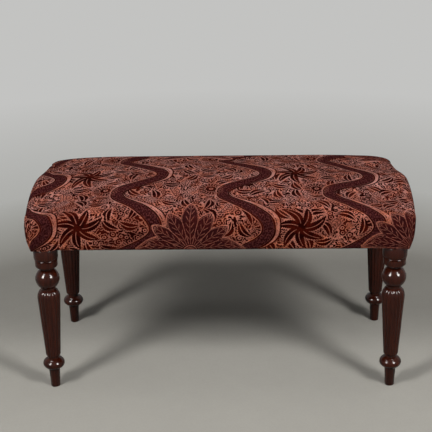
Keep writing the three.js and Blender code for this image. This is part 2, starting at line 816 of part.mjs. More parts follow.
place('hessian', hessian(), jute);
place('stuffing', toGeometry(stuffingForm(stuffingInset, stuffingLowHeight)), hair);
place('wadding', wadding(), cotton);
place('top_cover', topCover(), velvet);
place('bottoming_cloth', bottomingCloth(), lining);

export default stool;
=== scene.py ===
"""A long upholstered footstool: four turned and reeded legs, a tenoned frame, and a stuffed velvet seat.

Metres, +Z up, X along the stool, -Y its front. The origin is on the floor under the middle.
"""

import logging
import math
from collections.abc import Callable, Iterable
from dataclasses import dataclass
from enum import Enum
from itertools import pairwise

import bmesh
import bpy
import numpy as np
from bpy.types import Material, Node, NodeSocket, NodeTree, Object
from mathutils import Matrix, Vector, noise


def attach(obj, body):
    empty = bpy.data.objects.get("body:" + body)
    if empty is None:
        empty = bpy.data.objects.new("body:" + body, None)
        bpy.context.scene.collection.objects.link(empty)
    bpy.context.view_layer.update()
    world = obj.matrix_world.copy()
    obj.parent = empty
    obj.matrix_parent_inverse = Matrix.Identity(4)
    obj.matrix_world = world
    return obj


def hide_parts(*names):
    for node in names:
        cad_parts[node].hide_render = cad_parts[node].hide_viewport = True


Pair = tuple[float, float]
Triple = tuple[float, float, float]
Colour = Triple
Rows = np.ndarray

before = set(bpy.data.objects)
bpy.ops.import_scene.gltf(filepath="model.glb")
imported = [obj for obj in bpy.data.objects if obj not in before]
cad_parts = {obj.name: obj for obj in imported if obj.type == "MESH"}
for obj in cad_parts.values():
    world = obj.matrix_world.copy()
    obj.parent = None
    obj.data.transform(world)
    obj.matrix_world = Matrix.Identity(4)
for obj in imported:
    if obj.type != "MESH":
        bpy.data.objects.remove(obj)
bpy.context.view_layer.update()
log = logging.getLogger("footstool")

MM = 0.001
GAP = 0.3 * MM


class Corner(Enum):
    """The four corners of the stool: the signs of their X and Y."""

    FRONT_LEFT = (-1, -1)
    FRONT_RIGHT = (1, -1)
    BACK_LEFT = (-1, 1)
    BACK_RIGHT = (1, 1)

    @property
    def label(self) -> str:
        """The corner's name as the CAD nodes write it."""
        return self.name.lower()


# Hand tools: primitives, selections and modifiers


def to_object_mode() -> None:
    """Leaves edit mode and clears the selection."""
    active = bpy.context.view_layer.objects.active
    if active is not None and active.mode != "OBJECT":
        bpy.ops.object.mode_set(mode="OBJECT")
    bpy.ops.object.select_all(action="DESELECT")


def take(piece: Object) -> None:
    """Makes one piece the only selected and the active one.

    Args:
        piece: the object to work on.
    """
    to_object_mode()
    piece.select_set(True)
    bpy.context.view_layer.objects.active = piece


def named(name: str) -> Object:
    """Names the piece that an operator has just added, and gives it back.

    Args:
        name: the name of the piece and of its mesh.

    Returns:
        The active object.
    """
    piece = bpy.context.view_layer.objects.active
    piece.name = name
    piece.data.name = name
    return piece


def settle(piece: Object) -> None:
    """Puts the piece's place, turn and scale into its mesh."""
    take(piece)
    bpy.ops.object.transform_apply(location=True, rotation=True, scale=True)


def tidy_shell(piece: Object, merge: float = 0.00002) -> None:
    """Merges doubles and turns all faces outwards.

    Args:
        piece: the object to clean.
        merge: the distance under which points become one.
    """
    take(piece)
    bpy.ops.object.mode_set(mode="EDIT")
    bpy.ops.mesh.select_all(action="SELECT")
    bpy.ops.mesh.remove_doubles(threshold=merge)
    bpy.ops.mesh.normals_make_consistent(inside=False)
    bpy.ops.object.mode_set(mode="OBJECT")


def apply_modifier(piece: Object, kind: str, **settings: object) -> None:
    """Adds a modifier with its settings and applies it.

    Args:
        piece: the object to change.
        kind: Blender's name of the modifier.
        **settings: values set on the modifier.
    """
    take(piece)
    modifier = piece.modifiers.new(kind.title(), kind)
    for key, value in settings.items():
        setattr(modifier, key, value)
    bpy.ops.object.modifier_apply(modifier=modifier.name)


def carve(piece: Object, tool: Object, how: str) -> None:
    """Takes a tool from a piece, adds it or keeps what they share, and removes the tool."""
    apply_modifier(piece, "BOOLEAN", object=tool, operation=how, solver="EXACT")
    bpy.data.objects.remove(tool)


def smooth(piece: Object, degrees: float = 30.0) -> None:
    """Shades the piece smooth, apart from edges sharper than an angle."""
    take(piece)
    bpy.ops.object.shade_smooth_by_angle(angle=math.radians(degrees))


def box_between(name: str, low: Iterable[float], high: Iterable[float]) -> Object:
    """A box from a cube primitive, stretched between two corners.

    Args:
        name: the name of the piece.
        low: its lowest corner.
        high: its highest corner.

    Returns:
        The box, with its place in its mesh.
    """
    low, high = Vector(low), Vector(high)
    to_object_mode()
    bpy.ops.mesh.primitive_cube_add(size=1, location=(low + high) / 2)
    piece = named(name)
    piece.scale = high - low
    settle(piece)
    return piece


def raise_rings(profile: Iterable[Pair]) -> None:
    """Extrudes the selected ring up from point to point, resizing it about the axis.

    Args:
        profile: radius and height of each ring, from the one that is selected.
    """
    for (radius, height), (next_radius, next_height) in pairwise(profile):
        rise, share = next_height - height, next_radius / radius
        bpy.ops.mesh.extrude_region_move(TRANSFORM_OT_translate={"value": (0, 0, rise)})
        bpy.ops.transform.resize(value=(share, share, 1), center_override=(0, 0, next_height))


def begin_turning(name: str, profile: list[Pair], sides: int) -> Object:
    """Turns a solid about Z from a disc, and stays in edit mode with its top ring selected.

    Args:
        name: the name of the piece.
        profile: radius and height of each point, from the bottom up.
        sides: points round the turning.

    Returns:
        The solid, in edit mode.
    """
    radius, height = profile[0]
    to_object_mode()
    bpy.ops.mesh.primitive_circle_add(
        vertices=sides, radius=radius, fill_type="NGON", location=(0, 0, height)
    )
    piece = named(name)
    settle(piece)
    bpy.ops.object.mode_set(mode="EDIT")
    bpy.ops.mesh.select_all(action="SELECT")
    raise_rings(profile)
    return piece


def turned(name: str, profile: list[Pair], sides: int) -> Object:
    """Turns a whole solid about Z.

    Args:
        name: the name of the piece.
        profile: radius and height of each point, from the bottom up.
        sides: points round the turning.

    Returns:
        The solid, still in the middle.
    """
    piece = begin_turning(name, profile, sides)
    bpy.ops.object.mode_set(mode="OBJECT")
    tidy_shell(piece)
    return piece


def part_way(start: float, end: float, share: float) -> float:
    """What lies a share of the way from one size to another."""
    return start + (end - start) * share


def swelling(
    low: float, top: float, low_radius: float, top_radius: float, widest: float, steps: int
) -> list[Pair]:
    """Profile of an ellipse-shaped swelling between two necks.

    Args:
        low: height of the lower neck.
        top: height of the upper neck.
        low_radius: radius of the lower neck.
        top_radius: radius of the upper neck.
        widest: radius at the widest place.
        steps: number of steps along the curve.

    Returns:
        Radius and height of each point.
    """
    low_angle = math.acos(low_radius / widest)
    top_angle = math.acos(top_radius / widest)
    half = (top - low) / (math.sin(low_angle) + math.sin(top_angle))
    middle = low + half * math.sin(low_angle)
    angles = np.linspace(-low_angle, top_angle, steps + 1)
    return [(widest * math.cos(a), middle + half * math.sin(a)) for a in angles]


def flare(low: float, top: float, from_radius: float, to_radius: float, steps: int) -> list[Pair]:
    """Radius and height along a quarter ellipse that flares out and up."""
    angles = np.linspace(0, math.pi / 2, steps + 1)
    return [
        (part_way(from_radius, to_radius, math.sin(a)), top - (top - low) * math.cos(a))
        for a in angles
    ]


def own_copy(piece: Object, name: str) -> Object:
    """A copy of a piece with its own mesh.

    Args:
        piece: the object to copy.
        name: the copy's name.

    Returns:
        The copy, linked to the scene.
    """
    copy = piece.copy()
    copy.data = piece.data.copy()
    copy.name = name
    copy.data.name = name
    bpy.context.scene.collection.objects.link(copy)
    return copy


def report(piece: Object, finish: Material, slot: str, *nodes: str) -> None:
    """Dresses a piece, rides it on the stool, hides the CAD nodes that it stands for and logs it.

    Args:
        piece: the shaped object.
        finish: its material.
        slot: the record's material slot of its finish; not used.
        *nodes: the CAD nodes that it stands for.
    """
    piece.data.materials.append(finish)
    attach(piece, "root")
    if nodes:
        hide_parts(*nodes)
    log.info("%s: %d faces", piece.name, len(piece.data.polygons))


# Node trees


@dataclass(frozen=True)
class Wire:
    """A number that flows through a node tree, so that a sum of wires reads as a sum."""

    graph: "Graph"
    socket: NodeSocket

    def __add__(self, other: "Wire | float") -> "Wire":
        """Sum."""
        return self.graph.math("ADD", self, other)

    __radd__ = __add__

    def __sub__(self, other: "Wire | float") -> "Wire":
        """Difference."""
        return self.graph.math("SUBTRACT", self, other)

    def __rsub__(self, other: float) -> "Wire":
        """Difference from a number."""
        return self.graph.math("SUBTRACT", other, self)

    def __mul__(self, other: "Wire | float") -> "Wire":
        """Product."""
        return self.graph.math("MULTIPLY", self, other)

    __rmul__ = __mul__

    def __truediv__(self, other: "Wire | float") -> "Wire":
        """Quotient."""
        return self.graph.math("DIVIDE", self, other)

    def to(self, function: str) -> "Wire":
        """A function of one number, by Blender's name for it."""
        return self.graph.math(function, self)

    def squared(self) -> "Wire":
        """Square."""
        return self * self

    def hill(self) -> "Wire":
        """A rise over a share of the way: 0 at both ends and 1 in the middle."""
        return self * (1.0 - self) * 4.0

    def size(self) -> "Wire":
        """Absolute value."""
        return self.to("ABSOLUTE")

    def reach(self, other: "Wire") -> "Wire":
        """Distance from the middle, with this number along one axis and the other across it."""
        return (self.squared() + other.squared()).to("SQRT")

    def below(self, edge: "Wire | float", soft: float) -> "Wire":
        """1 where the number is under an edge, 0 above it, with a soft step between."""
        return self.graph.math("MULTIPLY_ADD", edge - self, 1 / soft, 0.5, clamp=True)

    def near(self, place: "Wire | float", reach: float, soft: float) -> "Wire":
        """1 where the number is within reach of a place, with soft edges."""
        return (self - place).size().below(reach, soft)

    def wrapped(self, period: float) -> "Wire":
        """The number brought into the period round zero."""
        return self.graph.math("WRAP", self, -period / 2, period / 2)

    def either(self, other: "Wire | float") -> "Wire":
        """The larger of two masks."""
        return self.graph.math("MAXIMUM", self, other)

    def both(self, other: "Wire | float") -> "Wire":
        """The smaller of two masks."""
        return self.graph.math("MINIMUM", self, other)

    def outside(self) -> "Wire":
        """The mask turned round."""
        return 1.0 - self


@dataclass(frozen=True)
class Graph:
    """Adds nodes to one tree and joins them."""

    tree: NodeTree

    def add(self, kind: str, **settings: object) -> Node:
        """Adds a node of a kind, with its settings.

        Args:
            kind: the node's type without the ShaderNode in front.
            **settings: properties set on the node.

        Returns:
            The node.
        """
        node = self.tree.nodes.new("ShaderNode" + kind)
        for key, value in settings.items():
            setattr(node, key, value)
        return node

    def feed(self, target: NodeSocket, value: object) -> None:
        """Links a wire or socket to an input, or writes a constant there.

        Args:
            target: the input.
            value: a wire, a socket, a number or the three numbers of a vector or colour.
        """
        if isinstance(value, Wire):
            self.tree.links.new(value.socket, target)
        elif isinstance(value, NodeSocket):
            self.tree.links.new(value, target)
        else:
            target.default_value = (*value, 1) if target.type == "RGBA" else value

    def give(self, node: Node, **values: object) -> Node:
        """Feeds a node's inputs by name.

        Args:
            node: the node.
            **values: what goes into each input, with spaces written as underscores.

        Returns:
            The node.
        """
        for key, value in values.items():
            self.feed(node.inputs[key.replace("_", " ")], value)
        return node

    def math(self, operation: str, *values: object, clamp: bool = False) -> Wire:
        """A Math node.

        Args:
            operation: Blender's name of the operation.
            *values: wires or numbers, in the node's order.
            clamp: whether the result is kept between 0 and 1.

        Returns:
            The result.
        """
        node = self.add("Math", operation=operation, use_clamp=clamp)
        for target, value in zip(node.inputs, values):
            self.feed(target, value)
        return Wire(self, node.outputs[0])

    def vector(self, x: object, y: object, z: object = 0.0) -> NodeSocket:
        """Three numbers made one vector."""
        return self.give(self.add("CombineXYZ"), X=x, Y=y, Z=z).outputs[0]

    def parts(self, vector: object) -> tuple[Wire, Wire, Wire]:
        """The three numbers of a vector."""
        node = self.give(self.add("SeparateXYZ"), Vector=vector)
        return tuple(Wire(self, output) for output in node.outputs)

    def noise(self, vector: object, scale: float, detail: float = 2.0, **more: float) -> Wire:
        """Noise from 0 to 1, with so many spots to a metre and finer layers in them."""
        node = self.give(self.add("TexNoise"), Vector=vector, Scale=scale, Detail=detail, **more)
        return Wire(self, node.outputs[0])

    def mix(self, share: object, first: object, second: object) -> NodeSocket:
        """One colour over another by a mask.

        Args:
            share: how much of the second shows.
            first: the lower colour.
            second: the upper colour.

        Returns:
            The mixed colour's socket.
        """
        node = self.give(self.add("Mix", data_type="RGBA"), Factor=share)
        self.feed(node.inputs[6], first)
        self.feed(node.inputs[7], second)
        return node.outputs[2]

    def stretched(self, vector: object, scale: Triple) -> NodeSocket:
        """A vector with each of its numbers scaled."""
        return self.give(self.add("Mapping"), Vector=vector, Scale=scale).outputs[0]

    def group(self, tree: NodeTree, **values: object) -> dict[str, Wire]:
        """Places a node group, feeds its inputs by name and gives its outputs by name."""
        node = self.give(self.add("Group", node_tree=tree), **values)
        return {output.name: Wire(self, output) for output in node.outputs}


def new_group(
    name: str, build: Callable[[Graph, dict[str, Wire]], dict[str, Wire]], **inputs: float | None
) -> NodeTree:
    """Builds a shader node group once.

    Args:
        name: the group's name.
        build: makes the nodes from the inputs and gives the outputs by name, all numbers.
        **inputs: default number of each input, or None for a vector.

    Returns:
        The group.
    """
    tree = bpy.data.node_groups.new(name, "ShaderNodeTree")
    graph = Graph(tree)
    for key, value in inputs.items():
        kind = "NodeSocketVector" if value is None else "NodeSocketFloat"
        socket = tree.interface.new_socket(key, in_out="INPUT", socket_type=kind)
        if value is not None:
            socket.default_value = value
    entry = tree.nodes.new("NodeGroupInput")
    made = build(graph, {key: Wire(graph, entry.outputs[key]) for key in inputs})
    for key in made:
        tree.interface.new_socket(key, in_out="OUTPUT", socket_type="NodeSocketFloat")
    graph.give(tree.nodes.new("NodeGroupOutput"), **made)
    return tree


def wood_grain(graph: Graph, given: dict[str, Wire]) -> dict[str, Wire]:
    """Wood grain along Z of the vector.

    Args:
        graph: the group's graph.
        given: its inputs.

    Returns:
        Soft figure and fine pores.
    """
    along = graph.give(graph.add("VectorMath", operation="SCALE"), **given).outputs[0]
    figure = graph.noise(graph.stretched(along, (1, 1, 0.06)), 55, 5, Roughness=0.62, Distortion=1.4)
    pores = graph.noise(graph.stretched(along, (1, 1, 0.035)), 620, 3, Roughness=0.7)
    return {"Figure": figure, "Pores": pores.below(0.42, 0.12)}


def plain_weave(graph: Graph, given: dict[str, Wire]) -> dict[str, Wire]:
    """Plain weave in the vector's X and Y: raised threads over and under.

    Args:
        graph: the group's graph.
        given: its inputs.

    Returns:
        Height of the threads and unevenness of the yarn.
    """
    x, y, _ = graph.parts(given["Vector"])
    turn = given["Threads"] * math.pi
    over = (x * turn).to("SINE") * (y * turn).to("SINE")
    height = over.size().to("SQRT") * 0.7 + over * 0.3
    return {"Height": height, "Yarn": graph.noise(given["Vector"], 900, 2)}


def rubbed_patches(graph: Graph, given: dict[str, Wire]) -> dict[str, Wire]:
    """Broken-up patches of handling, dust or fading, at a scale.

    Args:
        graph: the group's graph.
        given: its inputs.

    Returns:
        The patches.
    """
    along = graph.give(graph.add("VectorMath", operation="SCALE"), **given).outputs[0]
    broad = graph.noise(along, 1, 3, Roughness=0.6)
    return {"Patches": broad * 0.7 + graph.noise(along, 9, 2) * 0.3}


@dataclass(frozen=True)
class Groups:
    """The shader node groups that several finishes share."""

    grain: NodeTree
    weave: NodeTree
    rubbed: NodeTree


def blank_material(name: str) -> tuple[Material, Graph, Node]:
    """A new material with one Principled BSDF.

    Args:
        name: the material's name.

    Returns:
        The material, its graph and its shader.
    """
    material = bpy.data.materials.new(name)
    material.use_nodes = True
    material.node_tree.nodes.clear()
    graph = Graph(material.node_tree)
    shader = graph.add("BsdfPrincipled")
    output = graph.add("OutputMaterial")
    graph.feed(output.inputs["Surface"], shader.outputs[0])
    return material, graph, shader


def object_place(graph: Graph) -> NodeSocket:
    """The object coordinates, which are the stool's own metres."""
    return graph.add("TexCoord").outputs["Object"]


def looked_at(graph: Graph) -> Wire:
    """Tells the rays that show a thing to the camera, straight, in a reflection or through glass.

    Args:
        graph: the node tree's graph.

    Returns:
        1 for such rays, 0 for the light on the stool.
    """
    paths = graph.add("LightPath")
    rays = [Wire(graph, paths.outputs[f"Is {kind} Ray"]) for kind in ("Camera", "Glossy", "Transmission")]
    return rays[0].either(rays[1]).either(rays[2])


def add_relief(graph: Graph, shader: Node, height: object, depth: float, strength: float) -> None:
    """Raises the shader's surface by a height from 0 to 1, over a depth in metres."""
    bump = graph.give(graph.add("Bump"), Strength=strength, Distance=depth, Height=height)
    graph.feed(shader.inputs["Normal"], bump.outputs[0])


# Finishes


@dataclass(frozen=True)
class Wood:
    """A finish of wood: two tones of the figure, dark pores, and its polish."""

    name: str
    light: Colour
    dark: Colour
    pore: Colour
    roughness: Pair
    coat: float
    grain_scale: float
    axis: Triple = (0.0, 0.0, 0.0)
    relief: float = 0.00005

    def make(self, groups: Groups) -> Material:
        """Builds the material.

        Args:
            groups: the shared node groups.

        Returns:
            The material.
        """
        material, graph, shader = blank_material(self.name)
        place = object_place(graph)
        turn = graph.give(graph.add("Mapping"), Vector=place, Rotation=self.axis)
        grain = graph.group(groups.grain, Vector=turn.outputs[0], Scale=self.grain_scale)
        rubbed = graph.group(groups.rubbed, Vector=place, Scale=14.0)["Patches"]
        tone = graph.mix(grain["Figure"].below(0.5, 0.42), self.light, self.dark)
        worn = graph.mix(rubbed.below(0.46, 0.3) * 0.35, tone, self.dark)
        low, high = self.roughness
        graph.give(
            shader, Base_Color=graph.mix(grain["Pores"] * 0.55, worn, self.pore),
            Roughness=rubbed * (high - low) + low, Specular_IOR_Level=0.04, Coat_Weight=self.coat,
            Coat_Roughness=0.05,
        )
        add_relief(graph, shader, 1.0 - grain["Pores"], self.relief, 0.35)
        return material


@dataclass(frozen=True)
class Cloth:
    """A finish of woven cloth: the yarn's two tones, with painted shade in the weave's hollows, its count and
    its nap.
    """

    name: str
    light: Colour
    dark: Colour
    threads: float
    relief: float
    sheen: float = 0.15

    def make(self, groups: Groups) -> Material:
        """Builds the material.

        Args:
            groups: the shared node groups.

        Returns:
            The material.
        """
        material, graph, shader = blank_material(self.name)
        place = object_place(graph)
        weave = graph.group(groups.weave, Vector=place, Threads=self.threads)
        rubbed = graph.group(groups.rubbed, Vector=place, Scale=11.0)["Patches"]
        # Tone of the yarn and rubbed patches, plus painted shade: the weave's low places lean to the dark tone.
        yarn = weave["Yarn"] * 0.6 + weave["Height"] * 0.5 + rubbed * 0.3 - 0.2
        graph.give(
            shader, Base_Color=graph.mix(yarn, self.dark, self.light), Roughness=weave["Yarn"] * 0.15 + 0.78,
            Sheen_Weight=self.sheen, Sheen_Roughness=0.5,
        )
        add_relief(graph, shader, weave["Height"], self.relief, 0.6)
        return material


@dataclass(frozen=True)
class Fibre:
    """A finish of loose fibre, as curled hair or cotton wadding."""

    name: str
    light: Colour
    dark: Colour
    curl: float

    def make(self, groups: Groups) -> Material:
        """Builds the material.

        Args:
            groups: the shared node groups.

        Returns:
            The material.
        """
        material, graph, shader = blank_material(self.name)
        place = object_place(graph)
        rubbed = graph.group(groups.rubbed, Vector=place, Scale=25.0)["Patches"]
        strands = graph.noise(place, self.curl, 4, Distortion=2.5)
        tone = graph.mix(strands.below(0.5, 0.25), self.light, self.dark)
        graph.give(shader, Base_Color=tone, Roughness=rubbed * 0.1 + 0.86, Sheen_Weight=0.3)
        add_relief(graph, shader, strands + rubbed, 0.0012, 0.7)
        return material


@dataclass(frozen=True)
class Metal:
    """A finish of plain metal with fine scratches."""

    name: str
    light: Colour
    dark: Colour
    roughness: Pair

    def make(self, groups: Groups) -> Material:
        """Builds the material.

        Args:
            groups: the shared node groups.

        Returns:
            The material.
        """
        material, graph, shader = blank_material(self.name)
        place = object_place(graph)
        rubbed = graph.group(groups.rubbed, Vector=place, Scale=180.0)["Patches"]
        scratch = graph.noise(graph.stretched(place, (1, 0.05, 1)), 2500, 2)
        tone = graph.mix(rubbed, self.dark, self.light)
        low, high = self.roughness
        graph.give(shader, Base_Color=tone, Roughness=rubbed * (high - low) + low, Metallic=1.0)
        add_relief(graph, shader, scratch, 0.00003, 0.3)
        return material


def turned_by(x: Wire, y: Wire, turn: Wire) -> tuple[Wire, Wire]:
    """Place along and across a figure that is turned by an angle."""
    cosine, sine = turn.to("COSINE"), turn.to("SINE")
    return x * cosine + y * sine, y * cosine - x * sine


@dataclass(frozen=True)
class Pattern:
    """The velvet's drawing on the flat cloth, in millimetres: u along the stool and v across it."""

    graph: Graph
    u: Wire
    v: Wire
    repeat_across: float = 244.0
    repeat_along: float = 226.0
    swing: float = -50.0
    skew: float = 0.2
    band_start: float = 58.0
    swing_start: float = -236.0
    band_half: float = 13.0
    palmette_place: Pair = (-62.0, -290.0)
    petal_turn: float = 0.46
    petal_length: float = 104.0
    heart: float = 13.0
    side_leaf: Pair = (104.0, 19.0)
    side_leaf_start: Pair = (12.0, 2.0)
    side_leaf_arch: float = 13.0
    spray_place: Pair = (178.0, -236.0)
    spray_leaves: int = 7
    spray_leaf: Pair = (58.0, 9.5)
    spray_curl: float = 0.011
    rosette_place: Pair = (-20.0, -92.0)
    rosette_rings: Pair = (27.0, 12.0)
    stray_pitch: float = 42.0
    stray_leaf: Pair = (24.0, 9.5)
    flower_pitch: float = 18.5
    flower_radius: float = 6.2
    leaflet_pitch: float = 10.8
    leaflet: Pair = (6.6, 3.3)

    def about(self, place: Pair, across: float, along: float) -> tuple[Wire, Wire]:
        """Places from the middle of the nearest of a figure's repeats."""
        return (self.u - place[0]).wrapped(across), (self.v - place[1]).wrapped(along)

    def turn(self, x: Wire, y: Wire) -> Wire:
        """The angle of a place, from the second measure towards the first."""
        return self.graph.math("ARCTAN2", x, y)

    def serpentine(self) -> tuple[Wire, Wire]:
        """Distance from the middle of the nearest band, and the place along it.

        Returns:
            The distance, less than 0 on one side, and the phase.
        """
        turn = 2 * math.pi / self.repeat_along
        phase = (self.v - self.swing_start) * turn
        bent = phase - (1.0 - phase.to("COSINE")) * self.skew
        middle = bent.to("COSINE") * -self.swing + self.band_start
        slope = bent.to("SINE") * (1.0 - phase.to("SINE") * self.skew) * (self.swing * turn)
        reach = (self.u - middle).wrapped(self.repeat_across)
        return reach / (slope.squared() + 1.0).to("SQRT"), phase

    def palmette(self) -> tuple[Wire, Wire, Wire]:
        """A fan of pointed petals over two side leaves.

        Returns:
            Masks of the whole figure, of its pale lines and of its clear rim.
        """
        x, y = self.about(self.palmette_place, 2 * self.repeat_across, 2 * self.repeat_along)
        side = x.size()
        radius = x.reach(y)
        angle = self.turn(side, y)
        off = angle.wrapped(self.petal_turn).size()
        tall = angle.below(0.1, 0.5) * 30.0
        tip = self.petal_length - angle.squared() * 4.0 - off * 60.0 - off.squared() * 370.0 + tall
        fan = radius.below(tip, 1.2).both(angle.below(1.9, 0.05)).either(radius.below(self.heart + 4.0, 1.0))
        rim = radius.below(tip + 4.0, 1.2).both(angle.below(2.0, 0.05))
        rim = rim.either(radius.below(self.heart + 7.0, 1.0))
        outline = (tip - radius).near(4.0, 0.5, 0.8)
        divide = ((off - self.petal_turn / 2) * radius).near(0.0, 0.6, 0.8)
        midrib = (off * radius).near(0.0, 0.5, 0.7)
        veins = (radius * 0.42 - off * radius * 0.7).to("SINE").below(-0.8, 0.2)
        veins = veins.both((off * radius).near(5.5, 3.2, 1.0))
        lines = outline.either(divide).either(midrib * 0.7).either(veins * 0.5)
        lines = lines.both(radius.near(self.heart, 4.0, 1.0).outside())
        lines = lines.either(radius.near(self.heart, 1.2, 0.8))
        start, low = self.side_leaf_start
        length, half = self.side_leaf
        reach = (side - start) / length
        arch = y - low - reach.hill() * self.side_leaf_arch
        width = reach.hill().size() * half
        inner = reach.near(0.5, 0.5, 0.02) * arch.size().below(width, 1.2)
        leaf_rim = reach.near(0.5, 0.52, 0.02).both(arch.size().below(width + 4.0, 1.2))
        edge = (width - arch.size()).near(2.6, 0.6, 0.8)
        hatch = (side * 0.5 + arch.size() * 0.6).to("SINE").below(-0.75, 0.25)
        spine = arch.near(0.0, 0.7, 0.7)
        leaf_lines = edge.either(spine).either(hatch.both((width - arch.size()).near(8.0, 3.5, 1.0)) * 0.6)
        leaf_lines = leaf_lines.both(inner)
        pale = lines.both(fan).either(leaf_lines.both(fan.outside()))
        return fan.either(inner), pale, rim.either(leaf_rim)

    def spray(self) -> tuple[Wire, Wire, Wire]:
        """Seven curved, saw-edged leaves round a point.

        Returns:
            Masks of the leaves, of their midribs and of their clear rim.
        """
        x, y = self.about(self.spray_place, 2 * self.repeat_across, self.repeat_along)
        radius = x.reach(y)
        angle = self.turn(x, y) + radius * self.spray_curl
        length, half = self.spray_leaf
        share = radius / ((angle * 3.0).to("COSINE") * 6.0 + length)
        saw = (radius * 1.5).to("SINE") * 1.5
        width = share.hill().size() * half + 0.8 + saw * share
        away = (angle.wrapped(2 * math.pi / self.spray_leaves) * radius).size()
        inside = share.below(1.0, 0.03)
        leaves = away.below(width, 1.0).both(inside)
        rim = away.below(width + 3.0, 1.2).both(share.below(1.05, 0.03))
        ribs = away.near(0.0, 0.75, 0.7).both(share.near(0.5, 0.32, 0.05))
        return leaves, ribs, rim

    def rosette(self) -> tuple[Wire, Wire, Wire]:
        """A round flower of two rings of petals.

        Returns:
            Masks of the flower, of its pale lines and of its clear rim.
        """
        x, y = self.about(self.rosette_place, self.repeat_across, self.repeat_along)
        radius = x.reach(y * 1.15)
        angle = self.turn(x, y)
        outer = (angle * 9.0).to("SINE").size() * 5.0 + self.rosette_rings[0]
        inner = (angle * 6.0).to("SINE").size() * 3.5 + self.rosette_rings[1]
        flower = radius.below(outer, 1.0)
        rim = radius.below(outer + 3.0, 1.2)
        lines = (outer - radius).near(3.0, 0.8, 0.8).either((inner - radius).near(0.0, 1.0, 0.8))
        spokes = (angle * 18.0).to("SINE").below(-0.55, 0.3).both(radius.near(21.0, 3.5, 1.0))
        heart = radius.below(5.0, 1.0).both(radius.below(2.4, 0.8).outside())
        return flower, lines.either(spokes).either(heart).both(flower), rim

    def cells(self, size: float, loose: float) -> tuple[Wire, ...]:
        """Scattered places, one to a cell.

        Args:
            size: how far apart the scattered places are.
            loose: how far they stray, from 0 to 1.

        Returns:
            Place from the cell's own point, and an angle and a number drawn by lot for the cell.
        """
        graph = self.graph
        node = graph.add("TexVoronoi", voronoi_dimensions="2D")
        graph.give(node, Vector=graph.vector(self.u / size, self.v / size), Scale=1.0, Randomness=loose)
        at_x, at_y, _ = graph.parts(node.outputs["Position"])
        lots = graph.give(graph.add("SeparateColor"), Color=node.outputs["Color"])
        turn, lot = (Wire(graph, lots.outputs[k]) for k in (0, 1))
        return self.u - at_x * size, self.v - at_y * size, turn * (2 * math.pi), lot

    def stray_leaves(self) -> tuple[Wire, Wire]:
        """Bent single leaves, some dark with a pale rib and some drawn in outline.

        Returns:
            Masks of the dark drawing and of the clear rim.
        """
        x, y, turn, lot = self.cells(self.stray_pitch, 0.7)
        along, across = turned_by(x, y, turn)
        length, half = self.stray_leaf
        width = (1.0 - (along / length).squared()) * half + (along * 1.3).to("SINE") * 0.8
        away = (across + along.squared() * 0.016 - 2.0).size()
        inside = away.below(width, 1.0)
        rim = away.below(width + 2.5, 1.2)
        edge = (width - away).near(1.1, 1.3, 0.7)
        rib = away.near(0.0, 0.9, 0.6)
        ticks = (along * 0.9 + away * 0.8).to("SINE").below(-0.3, 0.3)
        drawn = edge.either(rib).either(ticks.both(away.near(3.4, 2.0, 0.6)))
        solid = inside.both(rib.outside())
        filled = lot.below(0.8, 0.01)
        shown = (solid * filled).either(drawn * filled.outside()).both(inside)
        return shown, rim

    def small_flowers(self) -> tuple[Wire, Wire]:
        """Little flowers, rings and paired leaves that fill the ground.

        Returns:
            Masks of the dark drawing and of the clear rim.
        """
        x, y, turn, lot = self.cells(self.flower_pitch, 0.55)
        radius = x.reach(y)
        angle = self.turn(x, y) + turn
        petals = (angle * 2.5).to("SINE").size() * 2.5 + self.flower_radius
        flower = radius.below(petals, 0.7).both(radius.near(3.2, 1.1, 0.6).outside())
        ring = radius.near(5.8, 1.9, 0.8).either(radius.below(2.4, 0.7))
        pair = (angle.to("SINE").size() * 11.5).both(10.0)
        leaves = radius.below(pair, 0.9).both((angle.to("COSINE") * radius).near(0.0, 0.6, 0.4).outside())
        half, most = lot.below(0.5, 0.01), lot.below(0.74, 0.01)
        drawn = (flower * half).either(leaves * most.both(half.outside())).either(ring * most.outside())
        return drawn, radius.below(petals + 1.5, 0.8)

    def foliage(self, place: object) -> Wire:
        """Close leafage and wandering stems between the small flowers.

        Args:
            place: places on the flat cloth in metres, for noise.

        Returns:
            Mask of the dark drawing.
        """
        x, y, turn, _ = self.cells(self.leaflet_pitch, 0.9)
        along, across = turned_by(x, y, turn)
        length, width = self.leaflet
        leaflets = ((along / length).squared() + (across / width).squared()).below(1.0, 0.2)
        stems = self.graph.noise(place, 13.0, 1.0, Distortion=0.6).near(0.5, 0.025, 0.008)
        fine_stems = self.graph.noise(place, 24.0, 1.0, Distortion=0.5).near(0.48, 0.055, 0.012)
        return leaflets.either(stems).either(fine_stems)

